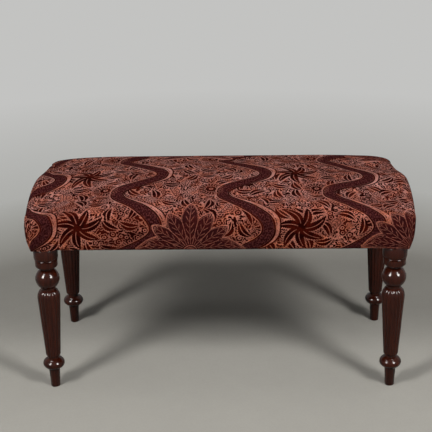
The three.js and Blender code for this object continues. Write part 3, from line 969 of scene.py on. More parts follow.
    def drawing(self, place: object) -> tuple[Wire, Wire, Wire, Wire]:
        """Lays the figures over each other, each clear of what is under it.

        Args:
            place: places on the flat cloth in metres, for noise.

        Returns:
            Masks of the dark pile, of the bands, of the pale lines and of the palmettes.
        """
        distance, phase = self.serpentine()
        whole, pale, rim = self.palmette()
        leaves, ribs, leaf_rim = self.spray()
        flower, petals, flower_rim = self.rosette()
        stray, stray_rim = self.stray_leaves()
        small, small_rim = self.small_flowers()
        small = self.foliage(place).both(small_rim.outside()).either(small)
        away = distance.size()
        strip = away.below(self.band_half, 0.8)
        edged = away.near(self.band_half, 2.0, 0.8)
        stripe = (phase + 0.6).to("SINE") * 5.5 + (self.band_half + 4.5)
        strip_rim = away.below(self.band_half + 4.0, 1.2).either(distance.near(stripe, 3.5, 1.0))
        beside = (distance - stripe).near(4.0, 1.6, 0.8)
        dark = small.both(stray_rim.outside()).either(stray)
        dark = dark.both(flower_rim.outside()).either(flower.both(petals.outside()))
        dark = dark.both(leaf_rim.outside()).either(leaves.both(ribs.outside()))
        dark = dark.both(strip_rim.outside()).either(edged).either(beside)
        dark = dark.both(rim.outside()).either(whole.both(pale.outside()))
        strip = strip.both(edged.outside()).both(rim.outside())
        lines = pale.both(whole).either(ribs.both(leaves)).either(petals.both(flower))
        lines = lines.both(rim.outside().either(whole))
        return dark, strip, lines, whole


@dataclass(frozen=True)
class Velvet:
    """Cut velvet: dark pile and bands over a salmon ground, made paler on top by wear and a painted sheen."""

    name: str = "cover_velvet_cut"
    ground: Colour = (0.68, 0.250, 0.175)
    ground_warm: Colour = (0.64, 0.185, 0.090)
    # Ground of the top's middle: paler and pinker, for wear and a painted sheen.
    ground_sheen_and_wear: Colour = (0.60, 0.290, 0.250)
    ground_faded: Colour = (0.25, 0.080, 0.055)
    pile: Colour = (0.013, 0.0012, 0.0009)
    pile_red: Colour = (0.050, 0.0045, 0.0020)
    band: Colour = (0.040, 0.0095, 0.0105)
    band_red: Colour = (0.090, 0.022, 0.019)
    line: Colour = (0.26, 0.085, 0.060)
    nap: Colour = (1.0, 0.34, 0.30)
    # Reach across the cloth of the top's wear and painted sheen, and its soft edge.
    sheen_and_wear_reach: Pair = (190 * MM, 60 * MM)

    def make(self, groups: Groups) -> Material:
        """Builds the material.

        Args:
            groups: the shared node groups.

        Returns:
            The material.
        """
        material, graph, shader = blank_material(self.name)
        cloth = graph.add("UVMap", uv_map="cloth").outputs[0]
        flat_u, flat_v, _ = graph.parts(cloth)
        warp = graph.noise(cloth, 22.0, 1.0)
        pattern = Pattern(graph, flat_u * 1000.0 + (warp - 0.5) * 5.0, flat_v * 1000.0 + (warp - 0.5) * 3.0)
        dark, strip, lines, whole = pattern.drawing(cloth)
        patches = graph.group(groups.rubbed, Vector=cloth, Scale=9.0)["Patches"]
        warm = graph.noise(cloth, 34.0, 1.0)
        fine = graph.noise(cloth, 620.0, 2.0)
        speckle = graph.noise(graph.stretched(cloth, (1, 0.6, 1)), 300.0, 1.0)
        tufted = graph.noise(cloth, 330.0, 1.0)
        # worn marks the top's middle, where wear and a painted sheen give a paler, pinker ground with less warm
        # tint, fading and mottle.
        worn = flat_v.size().below(*self.sheen_and_wear_reach)
        plain = graph.mix(worn, self.ground, self.ground_sheen_and_wear)
        salmon = graph.mix(warm.below(0.46, 0.08) * (0.9 - worn * 0.35), plain, self.ground_warm)
        faded = patches.below(0.58, 0.25) * (0.95 - worn * 0.3)
        ground = graph.mix(faded, salmon, self.ground_faded)
        dyed = graph.mix(warm.below(0.5, 0.08) * 0.8, self.pile, self.pile_red)
        figured = graph.mix(whole * 0.6, dyed, self.band)
        worked = graph.mix(dark, ground, figured)
        reddened = graph.mix(speckle.below(0.42, 0.06), self.band, self.band_red)
        dotted = graph.mix(speckle.below(0.56, 0.06).outside() * 0.8, reddened, self.pile)
        banded = graph.mix(strip, worked, dotted)
        lined = graph.mix(lines * 0.65, banded, self.line)
        mottled = graph.mix(tufted.below(0.48, 0.12) * (0.48 - worn * 0.12), lined, self.pile)
        pile = dark.either(strip)
        graph.give(
            shader, Base_Color=mottled, Roughness=pile * 0.12 + fine * 0.1 + 0.72, Specular_IOR_Level=0.0,
            Sheen_Weight=0.012, Sheen_Roughness=0.5, Sheen_Tint=self.nap,
        )
        add_relief(graph, shader, pile * 0.7 + fine * 0.15 + tufted * 0.15, 0.0007, 0.6)
        return material


# Sub-assemblies


@dataclass
class TurnedLeg:
    """One turned and reeded leg, made once and carried to the four corners."""

    foot_radius: float = 11 * MM
    foot_edge: float = 1.2 * MM
    peg_length: float = 43 * MM
    peg_top_radius: float = 12.8 * MM
    bulb_low: float = 46 * MM
    bulb_top: float = 79.6 * MM
    bulb_radius: float = 25.6 * MM
    bulb_low_radius: float = 13.2 * MM
    low_neck: float = 13.6 * MM
    cove: float = 3.6 * MM
    shaft_low: float = 81.4 * MM
    shaft_low_radius: float = 17.4 * MM
    shaft_top: float = 235.6 * MM
    shaft_top_radius: float = 26.6 * MM
    reed_foot: float = 5 * MM
    reed_head: float = 19.8 * MM
    high_neck: float = 16.5 * MM
    high_neck_rise: float = 2.4 * MM
    ball_low: float = 257.8 * MM
    ball_top: float = 311 * MM
    ball_radius: float = 28.1 * MM
    ball_top_radius: float = 14.4 * MM
    low_tier_top: float = 331 * MM
    low_tier_radius: float = 26 * MM
    low_tier_flare: float = 7.4 * MM
    bead_height: float = 4 * MM
    bead_proud: float = 0.8 * MM
    quirk: float = 1.8 * MM
    high_tier_radius: float = 28.2 * MM
    tier_edge: float = 2.4 * MM
    block_low: float = 361 * MM
    block_top: float = 428 * MM
    block_side: float = 54 * MM
    pommel_rise: float = 7 * MM
    tenon: Triple = (30 * MM, 8 * MM, 6 * MM)
    rail: Pair = (366 * MM, 22 * MM)
    spacing: Pair = (400 * MM, 169 * MM)
    reeds: int = 16
    reed_points: int = 8
    reed_depth: float = 0.075

    @property
    def sides(self) -> int:
        """Points round the turning."""
        return self.reeds * self.reed_points

    def reed_shape(self, ring: float, depth: float) -> float:
        """How far out a place across one reed lies, as a share of the ring's radius."""
        return 1 - depth * (1 - math.sin(math.pi * ring))

    def press_reeds(self, piece: Object, height: float, before: float, after: float) -> None:
        """Resizes each row of points of the ring at a height, to press the reeds deeper or shallower.

        Args:
            piece: the leg in edit mode.
            height: the ring's height.
            before: depth share that the ring has.
            after: depth share that it gets.
        """
        mesh = bmesh.from_edit_mesh(piece.data)
        ring = {v: math.atan2(v.co.y, v.co.x) for v in mesh.verts if abs(v.co.z - height) < 1e-6}

        def hold(rows: Iterable[int]) -> None:
            """Selects the ring's points in some rows of the reeds.

            Args:
                rows: the rows, counted from the valley.
            """
            for vertex in mesh.verts:
                vertex.select = False
            for vertex, turn in ring.items():
                step = round(turn / (2 * math.pi) * self.sides) % self.reed_points
                vertex.select = min(step, self.reed_points - step) in rows
            mesh.select_flush_mode()
            bmesh.update_edit_mesh(piece.data)

        for row in range(self.reed_points // 2):
            place = row / self.reed_points
            share = self.reed_shape(place, after) / self.reed_shape(place, before)
            hold([row])
            bpy.ops.transform.resize(value=(share, share, 1), center_override=(0, 0, height))
        hold(range(self.reed_points))

    def shaft_rings(self) -> list[Triple]:
        """The rings of the shaft, from its foot to its neck.

        Returns:
            Radius, height and share of the reeds' full depth of each.
        """
        rings = [
            (self.low_neck * 1.04, self.shaft_low + self.reed_foot * 0.04, 0.2),
            (self.low_neck * 1.12, self.shaft_low + self.reed_foot * 0.2, 0.7),
            (self.shaft_low_radius * 0.985, self.shaft_low + self.reed_foot * 0.6, 0.95),
            (self.shaft_low_radius, self.shaft_low + self.reed_foot, 1.0),
        ]
        for share in (0.25, 0.5, 0.75):
            radius = part_way(self.shaft_low_radius, self.shaft_top_radius, share)
            rings.append((radius, part_way(self.shaft_low + self.reed_foot, self.shaft_top, share), 1.0))
        for angle in np.linspace(0, math.pi / 2, 10):
            radius = part_way(self.high_neck, self.shaft_top_radius, math.cos(angle))
            height = self.shaft_top + self.reed_head * math.sin(angle)
            rings.append((radius, height, math.cos(angle) * self.shaft_top_radius / radius))
        return rings

    def foot_profile(self) -> list[Pair]:
        """Radius and height from the floor to the neck under the shaft."""
        bulb = swelling(
            self.bulb_low + self.cove * 0.6, self.bulb_top - self.cove, self.bulb_low_radius, self.low_neck,
            self.bulb_radius, 18,
        )
        return [
            (self.foot_radius - self.foot_edge, 0),
            (self.foot_radius - self.foot_edge * 0.3, self.foot_edge * 0.3),
            (self.foot_radius, self.foot_edge),
            (self.peg_top_radius, self.peg_length),
            (self.peg_top_radius + 0.2 * MM, self.peg_length + 0.8 * MM),
            (self.bulb_low_radius, self.bulb_low),
            *bulb,
            (self.low_neck, self.bulb_top - self.cove * 0.6),
            (self.low_neck, self.shaft_low),
        ]

    def collar_profile(self) -> list[Pair]:
        """Radius and height from the neck over the ball to the top of the collar."""
        bead_top = self.low_tier_top + self.bead_height
        return [
            (self.high_neck, self.ball_low - self.high_neck_rise * 0.5),
            (self.high_neck - 0.5 * MM, self.ball_low + self.cove * 0.4),
            *swelling(
                self.ball_low + self.cove, self.ball_top - self.cove, self.high_neck, self.ball_top_radius,
                self.ball_radius, 24,
            ),
            (self.ball_top_radius - 0.3 * MM, self.ball_top - self.cove * 0.5),
            *flare(
                self.ball_top + GAP, self.ball_top + self.low_tier_flare,
                self.ball_top_radius, self.low_tier_radius, 8,
            ),
            (self.low_tier_radius, self.low_tier_top - self.quirk * 0.7),
            *swelling(
                self.low_tier_top, bead_top, self.low_tier_radius - self.quirk,
                self.low_tier_radius - self.quirk, self.low_tier_radius + self.bead_proud, 8,
            ),
            (self.high_tier_radius - self.tier_edge / 2, bead_top + self.quirk * 0.4),
            (self.high_tier_radius - self.tier_edge / 6, bead_top + self.quirk),
            (self.high_tier_radius, bead_top + self.quirk + self.tier_edge),
            (self.high_tier_radius, self.block_low - self.tier_edge),
            (self.block_side / 2, self.block_low),
            (self.block_side / 2, self.block_low + self.pommel_rise),
        ]

    def turning(self) -> Object:
        """Turns the whole leg below the block in one piece, pressing the reeds in as the rings go up.

        Returns:
            The turned part.
        """
        profile = self.foot_profile()
        piece = begin_turning("leg_turning", profile, self.sides)
        last, depth = profile[-1], 0.0
        for radius, height, share in self.shaft_rings():
            raise_rings([last, (radius, height)])
            if abs(share * self.reed_depth - depth) > 1e-6:
                self.press_reeds(piece, height, depth, share * self.reed_depth)
                depth = share * self.reed_depth
            last = (radius, height)
        raise_rings([last, *self.collar_profile()])
        bpy.ops.object.mode_set(mode="OBJECT")
        tidy_shell(piece)
        return piece

    def block(self) -> Object:
        """The square top of the leg, its lower corners turned off into a pommel.

        Returns:
            The block.
        """
        half = self.block_side / 2
        corner = half * math.sqrt(2) + GAP
        square = box_between("leg_block", (-half, -half, self.block_low), (half, half, self.block_top))
        apply_modifier(square, "BEVEL", width=1.0 * MM, segments=2, limit_method="ANGLE")
        pommel = turned(
            "pommel",
            [
                *flare(self.block_low, self.block_low + self.pommel_rise, half, corner, 8),
                (corner, self.block_top + 1 * MM),
            ],
            self.sides,
        )
        carve(square, pommel, "INTERSECT")
        return square

    def mortises(self, piece: Object) -> None:
        """Cuts the mortises for the two rails out of the block of the leg at +X +Y.

        Args:
            piece: the leg, still in the middle.
        """
        half = self.block_side / 2
        length, thickness, shoulder = self.tenon
        rail_low, rail_thickness = self.rail
        low, top = rail_low + shoulder - GAP, self.block_top - shoulder + GAP
        line = half - rail_thickness / 2
        wide = thickness / 2 + GAP
        reach = length + GAP - half
        over = half + 2 * MM
        carve(piece, box_between("mortise", (-over, line - wide, low), (reach, line + wide, top)), "DIFFERENCE")
        carve(piece, box_between("mortise", (line - wide, -over, low), (line + wide, reach, top)), "DIFFERENCE")

    def build(self, finish: Material) -> None:
        """Makes the leg, copies it to the four corners and dresses it.

        Args:
            finish: the polished mahogany.
        """
        model = self.turning()
        carve(model, self.block(), "UNION")
        self.mortises(model)
        tidy_shell(model, 0.00001)
        for corner in Corner:
            side_x, side_y = corner.value
            piece = own_copy(model, f"turned_leg_{corner.label}")
            piece.data.transform(Matrix.Diagonal((side_x, side_y, 1, 1)))
            if side_x * side_y < 0:
                piece.data.flip_normals()
            piece.data.transform(Matrix.Translation((side_x * self.spacing[0], side_y * self.spacing[1], 0)))
            piece.data.materials.clear()
            smooth(piece, 34)
            report(piece, finish, "leg_mahogany", f"leg_{corner.label}")
        bpy.data.objects.remove(model)


@dataclass
class SeatFrame:
    """The rails, cross rail, corner blocks and screws, which keep their CAD shapes."""

    wooden: tuple[str, ...] = ("rail_front", "rail_back", "rail_left", "rail_right", "cross_rail")

    def dress(self, beech: Material, brass: Material) -> None:
        """Gives the CAD nodes of the frame their finishes.

        Args:
            beech: the frame's wood.
            brass: the screws' metal.
        """
        blocks = [f"corner_block_{corner.label}" for corner in Corner]
        screws = [f"screw_{corner.label}_{k}" for corner in Corner for k in (1, 2)]
        finishes = dict.fromkeys((*self.wooden, *blocks), beech) | dict.fromkeys(screws, brass)
        for name, material in finishes.items():
            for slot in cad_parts[name].material_slots:
                slot.material = material
            log.info("%s: CAD shape, finished in %s", name, material.name)


# Soft forms


def between(value: Rows | float, start: float, end: float) -> Rows:
    """Smooth step from 0 at one place to 1 at another."""
    share = np.clip((np.asarray(value, dtype=float) - start) / (end - start), 0, 1)
    return share * share * (3 - 2 * share)


def read_rows(items: object, key: str) -> Rows:
    """Three numbers of each item in one of a mesh's lists.

    Args:
        items: the list, such as the mesh's vertices.
        key: Blender's name of what is read.

    Returns:
        A row for each item.
    """
    rows = np.empty(len(items) * 3)
    items.foreach_get(key, rows)
    return rows.reshape(-1, 3)


def read_points(piece: Object) -> Rows:
    """The piece's vertices, a row of x, y and z each."""
    return read_rows(piece.data.vertices, "co")


def read_normals(piece: Object) -> Rows:
    """The piece's vertex normals, a row of x, y and z each."""
    return read_rows(piece.data.vertex_normals, "vector")


def write_points(piece: Object, points: Rows) -> None:
    """Puts the piece's vertices at new places."""
    piece.data.vertices.foreach_set("co", np.ascontiguousarray(points).ravel())
    piece.data.update()


def lumps(points: Rows, size: float, seed: float) -> Rows:
    """Soft unevenness of a size over a surface, from about -1 to 1 for each point."""
    shift = Vector((seed, -seed, seed))
    return np.array([noise.noise(Vector(p) / size + shift) for p in points])


@dataclass(frozen=True)
class SeatLevel:
    """One level of the seat's outline."""

    half_x: float
    half_y: float
    radius: float
    bow: float
    height_end: float
    height_front: float
    sag: float = 0.0
    dip: float = 0.0


@dataclass(frozen=True)
class SeatShape:
    """The stuffed seat's form: the outline of its sides and the crown of its top."""

    hem_half: Pair = (430.5 * MM, 199.5 * MM)
    widest_half: Pair = (437 * MM, 206 * MM)
    hem_height: float = 364.1 * MM
    widest_height: float = 423 * MM
    edge_height: float = 469 * MM
    crown: float = 15 * MM
    bow: Pair = (16 * MM, 22 * MM)
    bow_power: float = 4
    shoulder_inset: Pair = (38 * MM, 84 * MM)
    shoulder_power: Pair = (2.3, 3.0)
    corner_radius: Triple = (4 * MM, 18 * MM, 76 * MM)
    corner_sag: float = 44 * MM
    sag_power: Pair = (10, 2.1)
    corner_dip: float = 3 * MM
    dip_x: Pair = (372.7 * MM, 386.5 * MM)
    dip_y: Pair = (141.7 * MM, 155.5 * MM)
    crown_power: Pair = (3, 2)
    line_share: float = 0.694
    flattened: Pair = (12 * MM, 4.5 * MM)
    flat_from: Pair = (20 * MM, 110 * MM)
    flat_fades: Pair = (176 * MM, 212 * MM)
    flat_height: Pair = (384 * MM, 412 * MM)
    flat_reach: Pair = (390 * MM, 430 * MM)
    ears: Pair = (6.5 * MM, 3.5 * MM)
    ear_height: Pair = (432 * MM, 446 * MM)
    ear_place: Pair = (388 * MM, 160 * MM)
    ear_reach: float = 30 * MM
    short_columns: int = 14
    corner_columns: int = 14
    long_columns: int = 32
    side_steps: int = 10
    shoulder_steps: int = 12
    top_steps: int = 11

    def levels(self, inset: float) -> list[SeatLevel]:
        """The levels from the hem up to the edge of the top.

        Args:
            inset: how far inside the seat's outer form they lie.

        Returns:
            The levels, from the bottom up.
        """
        made = []
        hem = self.hem_height + inset
        for share in np.linspace(0, 1, self.side_steps + 1):
            swell = math.sin(share * math.pi / 2)
            half = [part_way(*ends, swell) - inset for ends in zip(self.hem_half, self.widest_half)]
            height = part_way(hem, self.widest_height, share)
            made.append(SeatLevel(
                *half, part_way(*self.corner_radius[:2], swell), self.bow[0] * swell, height, height,
                dip=1 - share,
            ))
        rise = self.edge_height - inset - self.widest_height
        for angle in np.linspace(0, math.pi / 2, self.shoulder_steps + 1)[1:]:
            cosine, sine = max(math.cos(angle), 0.0), math.sin(angle)
            drawn = [
                self.widest_half[k] - inset
                - self.shoulder_inset[k] * (1 - cosine ** (2 / self.shoulder_power[k]))
                for k in (0, 1)
            ]
            heights = [self.widest_height + rise * sine ** (2 / p) for p in self.shoulder_power]
            pulled = sine ** 2
            made.append(SeatLevel(
                *drawn, part_way(*self.corner_radius[1:], pulled), part_way(*self.bow, pulled), *heights,
                sag=self.corner_sag * pulled,
            ))
        return made

    def quarter(self, half_x: float, half_y: float, radius: float) -> Rows:
        """Plan of one quarter of an outline, from the end's middle round the corner to the side's middle.

        Args:
            half_x: half its length.
            half_y: half its depth.
            radius: its corner's radius.

        Returns:
            A row of x, y and facing angle for each column.
        """
        run_x, run_y = half_x - radius, half_y - radius
        short = [(half_x, run_y * k / self.short_columns, 0.0) for k in range(self.short_columns)]
        turns = np.linspace(0, math.pi / 2, self.corner_columns + 1)
        corner = [(run_x + radius * math.cos(a), run_y + radius * math.sin(a), a) for a in turns]
        long = [
            (run_x * (1 - k / self.long_columns), half_y, math.pi / 2)
            for k in range(1, self.long_columns + 1)
        ]
        return np.array([*short, *corner, *long])

    def around(self, quarter: Rows) -> Rows:
        """Mirrors one quarter's rows of x, y, ... into the other three.

        Args:
            quarter: rows that start with x and y.

        Returns:
            The rows of the whole ring, anticlockwise.
        """
        def signed(rows: Rows, side_x: int, side_y: int) -> Rows:
            """Rows with the signs of one quarter."""
            return rows * [side_x, side_y, *[1] * (rows.shape[1] - 2)]

        back = quarter[::-1]
        return np.vstack([
            quarter, signed(back[1:], -1, 1), signed(quarter[1:], -1, -1), signed(back[1:-1], 1, -1)
        ])

    def ring(self, level: SeatLevel) -> Rows:
        """One level's points, all the way round.

        Args:
            level: the level.

        Returns:
            A row of x, y and z each.
        """
        x, y, facing = self.quarter(level.half_x, level.half_y, level.radius).T
        share_x, share_y = x / level.half_x, y / level.half_y
        bowed = x + level.bow * (1 - share_y ** 2) * share_x ** self.bow_power
        sag = level.sag * share_x ** self.sag_power[0] * share_y ** self.sag_power[1]
        dip = self.corner_dip * level.dip * between(x, *self.dip_x) * between(y, *self.dip_y)
        height = part_way(level.height_front, level.height_end, np.cos(facing) ** 2)
        return self.around(np.column_stack([bowed, y, height - sag - dip]))

    def top_rings(self, edge: Rows, inset: float) -> list[Rows]:
        """Rings from the edge of the top to a line along its middle.

        Args:
            edge: the ring at the edge.
            inset: how far inside the seat's outer form they lie.

        Returns:
            The rings, without the edge itself.
        """
        made = []
        flat = self.edge_height - inset
        half_x, half_y = (self.widest_half[k] - self.shoulder_inset[k] for k in (0, 1))
        for share in np.linspace(1, 0, self.top_steps + 1)[1:]:
            x = edge[:, 0] * (self.line_share + (1 - self.line_share) * share)
            y = edge[:, 1] * share
            along = np.minimum(np.abs(x) / half_x, 1)
            across = np.minimum(np.abs(y) / half_y, 1)
            crown = (1 - along ** self.crown_power[0]) * (1 - across ** self.crown_power[1])
            z = part_way(flat, edge[:, 2], share ** 2) + self.crown * crown
            made.append(np.column_stack([x, y, z]))
        return made

    def rings(self, inset: float) -> list[Rows]:
        """All rings from the hem to the middle of the top, drawn in by an inset."""
        sides = [self.ring(level) for level in self.levels(inset)]
        return [*sides, *self.top_rings(sides[-1], inset)]

    def handled(self, points: Rows) -> Rows:
        """Moves points as this hand-stuffed seat differs from a true one: ends flatter at the back, and ears.

        Args:
            points: a row of x, y and z each.

        Returns:
            The points, moved.
        """
        x, y, z = points.T
        right = x > 0
        back = between(y, *self.flat_from) * (1 - between(y, *self.flat_fades) * 0.6)
        side = between(z, *self.flat_height) * between(np.abs(x), *self.flat_reach)
        moved = points.copy()
        moved[:, 0] -= np.sign(x) * np.where(right, self.flattened[0], self.flattened[1]) * back * side
        far = ((np.abs(x) - self.ear_place[0]) ** 2 + (y - self.ear_place[1]) ** 2) / self.ear_reach ** 2
        ear = np.exp(-far) * between(z, *self.ear_height)
        moved[:, 2] += np.where(right, self.ears[0], self.ears[1]) * ear
        return moved

    def facing(self) -> Rows:
        """Plan direction that each column faces, a unit row of x and y for each."""
        _, _, angle = self.quarter(1.0, 0.5, 0.1).T
        return self.around(np.column_stack([np.cos(angle), np.sin(angle)]))


def skin(name: str, points: Rows, faces: list[tuple[int, ...]]) -> Object:
    """A piece from its points and faces.

    Args:
        name: the name of the piece.
        points: a row of x, y and z each.
        faces: the numbers of the points round each face.

    Returns:
        The piece, linked to the scene.
    """
    mesh = bpy.data.meshes.new(name)
    mesh.from_pydata(points.tolist(), [], faces)
    piece = bpy.data.objects.new(name, mesh)
    bpy.context.scene.collection.objects.link(piece)
    return piece


def loft(name: str, rings: list[Rows], closed: bool = False) -> Object:
    """Skins rings of equally many points with quads.

    Args:
        name: the name of the piece.
        rings: the rings, each anticlockwise, from the bottom outside up.
        closed: whether the last ring is joined to the first.

    Returns:
        The mesh, not yet merged.
    """
    count = len(rings[0])
    last = len(rings) if closed else len(rings) - 1
    faces = []
    for low in range(last):
        high = (low + 1) % len(rings)
        for k in range(count):
            after = (k + 1) % count
            faces.append((low * count + k, low * count + after, high * count + after, high * count + k))
    return skin(name, np.vstack(rings), faces)


def swell(piece: Object, held: Rows, cap: float, pressure: float = 4.0) -> None:
    """Blows cloth up by a short simulation and keeps what swells outwards, within a cap.

    Args:
        piece: the cloth.
        held: which vertices are pinned.
        cap: how far a point may move.
        pressure: the air pressure inside.
    """
    before, outwards = read_points(piece), read_normals(piece)
    take(piece)
    pins = piece.vertex_groups.new(name="held")
    pins.add([int(k) for k in np.flatnonzero(held)], 1.0, "REPLACE")
    modifier = piece.modifiers.new("Cloth", "CLOTH")
    cloth = modifier.settings
    cloth.vertex_group_mass = pins.name
    cloth.use_pressure = True
    cloth.uniform_pressure_force = pressure
    cloth.effector_weights.gravity = 0
    cloth.mass = 0.35
    cloth.tension_stiffness = 40
    cloth.compression_stiffness = 40
    cloth.bending_stiffness = 4
    modifier.collision_settings.use_collision = False
    modifier.point_cache.frame_end = 20
    for step in range(1, 21):
        bpy.context.scene.frame_set(step)
    bpy.ops.object.modifier_apply(modifier=modifier.name)
    piece.vertex_groups.clear()
    reach = np.maximum(((read_points(piece) - before) * outwards).sum(axis=1), 0)
    write_points(piece, before + outwards * (cap * np.tanh(reach / cap))[:, None])
    bpy.context.scene.frame_set(1)
    log.info("%s: simulated, moved by at most %.1f mm", piece.name, reach.max() * 1000)


@dataclass
class Webbing:
    """Jute straps along and across the frame, woven over and under each other."""

    width: float = 50 * MM
    thickness: float = 1.6 * MM
    rise: float = 0.95 * MM
    height: float = 429.1 * MM
    crossing: float = 29 * MM
    long_half: float = 421 * MM
    cross_half: float = 190 * MM
    long_places: tuple[float, ...] = tuple((k - 1) * 98 * MM for k in range(3))
    cross_places: tuple[float, ...] = tuple((k - 3) * 108 * MM for k in range(7))

    def strap(self, name: str, half: float, crossings: tuple[float, ...], first: int) -> Object:
        """One strap along X: a strip with points at its crossings, which go up or down in turn.

        Args:
            name: the strap's name.
            half: half its length.
            crossings: where the other straps cross it.
            first: 1 if it is on top at the first crossing, -1 if under.

        Returns:
            The strap, with its thickness.
        """
        to_object_mode()
        steps = round(2 * half / (self.crossing / 4))
        bpy.ops.mesh.primitive_grid_add(x_subdivisions=steps, y_subdivisions=8, size=1)
        piece = named(name)
        piece.scale = (2 * half, self.width, 1)
        piece.location = (0, 0, self.height)
        settle(piece)
        points = read_points(piece)
        side = np.zeros(len(points))
        for k, place in enumerate(crossings):
            near = 1 - between(np.abs(points[:, 0] - place), self.crossing - 3 * MM, self.crossing + 9 * MM)
            side += near * (first if k % 2 == 0 else -first)
        edge = np.abs(points[:, 1]) / (self.width / 2)
        points[:, 2] += side * self.rise
        points[:, 1] *= 1 + 0.004 * np.sin(points[:, 0] / (7 * MM)) * (edge > 0.9)
        write_points(piece, points)
        apply_modifier(piece, "SOLIDIFY", thickness=self.thickness * 0.9, offset=0)
        apply_modifier(piece, "BEVEL", width=0.3 * MM, segments=1, limit_method="ANGLE")
        smooth(piece, 60)
        return piece

    def build(self, finish: Material) -> None:
        """Makes the ten straps, hides the CAD webbing that they stand for and logs them.

        Args:
            finish: the jute.
        """
        across = Matrix.Rotation(math.pi / 2, 4, "Z")
        for way, half, places, crossings, first, rails in (
            ("long", self.long_half, self.long_places, self.cross_places, 1, ["rail_left", "rail_right"]),
            ("cross", self.cross_half, self.cross_places, self.long_places, -1, ["rail_front", "rail_back"]),
        ):
            for k, place in enumerate(places):
                strap = self.strap(f"strap_{way}_{k + 1}", half, crossings, first if k % 2 == 0 else -first)
                if way == "long":
                    strap.data.transform(Matrix.Translation((0, place, 0)))
                else:
                    strap.data.transform(Matrix.Translation((place, 0, 0)) @ across)
                2 * half
                report(strap, finish, "webbing_jute", f"webbing_{way}_{k + 1}")


@dataclass
class Hessian:
    """The coarse cloth stretched over the webbing, drawn in a little between its tacks."""

    half: Pair = (421 * MM, 190 * MM)
    height: float = 431.75 * MM
    thickness: float = 0.8 * MM
    scallop: float = 1.2 * MM
    scallop_band: float = 14 * MM
    tack_pitch: float = 40 * MM
    unevenness: float = 0.12 * MM
    cells: tuple[int, int] = (126, 57)

    def build(self, finish: Material) -> None:
        """Makes the sheet.

        Args:
            finish: the hessian.
        """
        half_x, half_y = self.half
        to_object_mode()
        bpy.ops.mesh.primitive_grid_add(x_subdivisions=self.cells[0], y_subdivisions=self.cells[1], size=1)
        piece = named("hessian_sheet")
        piece.scale = (2 * half_x, 2 * half_y, 1)
        piece.location = (0, 0, self.height)
        settle(piece)
        points = read_points(piece)
        x, y = points[:, 0].copy(), points[:, 1].copy()
        pulled_x = self.scallop * np.sin(math.pi * y / self.tack_pitch) ** 2
        pulled_y = self.scallop * np.sin(math.pi * x / self.tack_pitch) ** 2
        points[:, 0] -= np.sign(x) * pulled_x * between(np.abs(x), half_x - self.scallop_band, half_x)
        points[:, 1] -= np.sign(y) * pulled_y * between(np.abs(y), half_y - self.scallop_band, half_y)
        points[:, 2] += self.unevenness * lumps(points, 9 * MM, 3.1)
        write_points(piece, points)
        apply_modifier(piece, "SOLIDIFY", thickness=self.thickness, offset=0)
        smooth(piece, 60)
        report(piece, finish, "hessian_cloth", "hessian")


def cut_level(rings: list[Rows], low: float) -> list[Rows]:
    """Lifts what is under a level up to it, and leaves out the rings that then lie flat on it."""
    lifted = [np.column_stack([ring[:, :2], np.maximum(ring[:, 2], low)]) for ring in rings]
    return [ring for ring in lifted if ring[:, 2].max() > low + GAP]


@dataclass
class Filling:
    """The curled hair of the seat and the cotton wadding over it."""

    shape: SeatShape
    stuffing_inset: float = 12.6 * MM
    stuffing_low: float = 432.65 * MM
    wadding_inset: float = 8.8 * MM
    wadding_inner: float = 11.8 * MM
    wadding_side: float = 4.6 * MM
    wadding_low: float = 369.9 * MM
    frame_half: Pair = (427.3 * MM, 196.3 * MM)

    def stuffing(self, finish: Material) -> None:
        """The pad of curled hair, level underneath and tufted all over.

        Args:
            finish: the hair.
        """
        kept = cut_level(self.shape.rings(self.stuffing_inset), self.stuffing_low)
        under = []
        for share in np.linspace(0, 1, 8):
            ring = kept[0].copy()
            ring[:, 0] *= self.shape.line_share + (1 - self.shape.line_share) * share
            ring[:, 1] *= share
            ring[:, 2] = self.stuffing_low
            under.append(ring)
        piece = loft("hair_stuffing", [*under, *kept])
        tidy_shell(piece)
        points = read_points(piece)
        free = between(points[:, 2], self.stuffing_low + 1 * MM, self.stuffing_low + 8 * MM)
        tufts = lumps(points, 16 * MM, 7.3) * 0.9 * MM - 0.5 * MM
        write_points(piece, self.shape.handled(points + read_normals(piece) * (tufts * free)[:, None]))
        smooth(piece, 60)
        report(piece, finish, "stuffing_hair", "stuffing")

    def wadding(self, finish: Material) -> None:
        """The cotton over the stuffing and down the rails' faces, one shell with its two sides.

        Args:
            finish: the cotton.
        """
        outer = self.shape.rings(self.wadding_inset)
        for ring in outer[: self.shape.side_steps + 4]:
            ring[:, :2] += self.shape.facing() * self.wadding_side
        outer = cut_level(outer, self.wadding_low)
        ledge = self.stuffing_low - GAP
        inner = cut_level(self.shape.rings(self.wadding_inner), ledge)
        box = self.shape.around(self.shape.quarter(*self.frame_half, 1.0 * MM))
        heights = (self.wadding_low, self.wadding_low + 20 * MM, ledge - 12 * MM, ledge)
        walls = [np.column_stack([box[:, :2], np.full(len(box), height)]) for height in heights]
        shell = [*outer, *reversed(inner), *reversed(walls)]
        piece = loft("cotton_wadding", shell, closed=True)
        tidy_shell(piece, 0.00001)
        points = read_points(piece)
        outside = np.abs(points[:, 0]) > self.frame_half[0] + GAP
        above = points[:, 2] > self.stuffing_low
        write_points(piece, np.where((outside | above)[:, None], self.shape.handled(points), points))
        smooth(piece, 60)
        report(piece, finish, "wadding_cotton", "wadding")


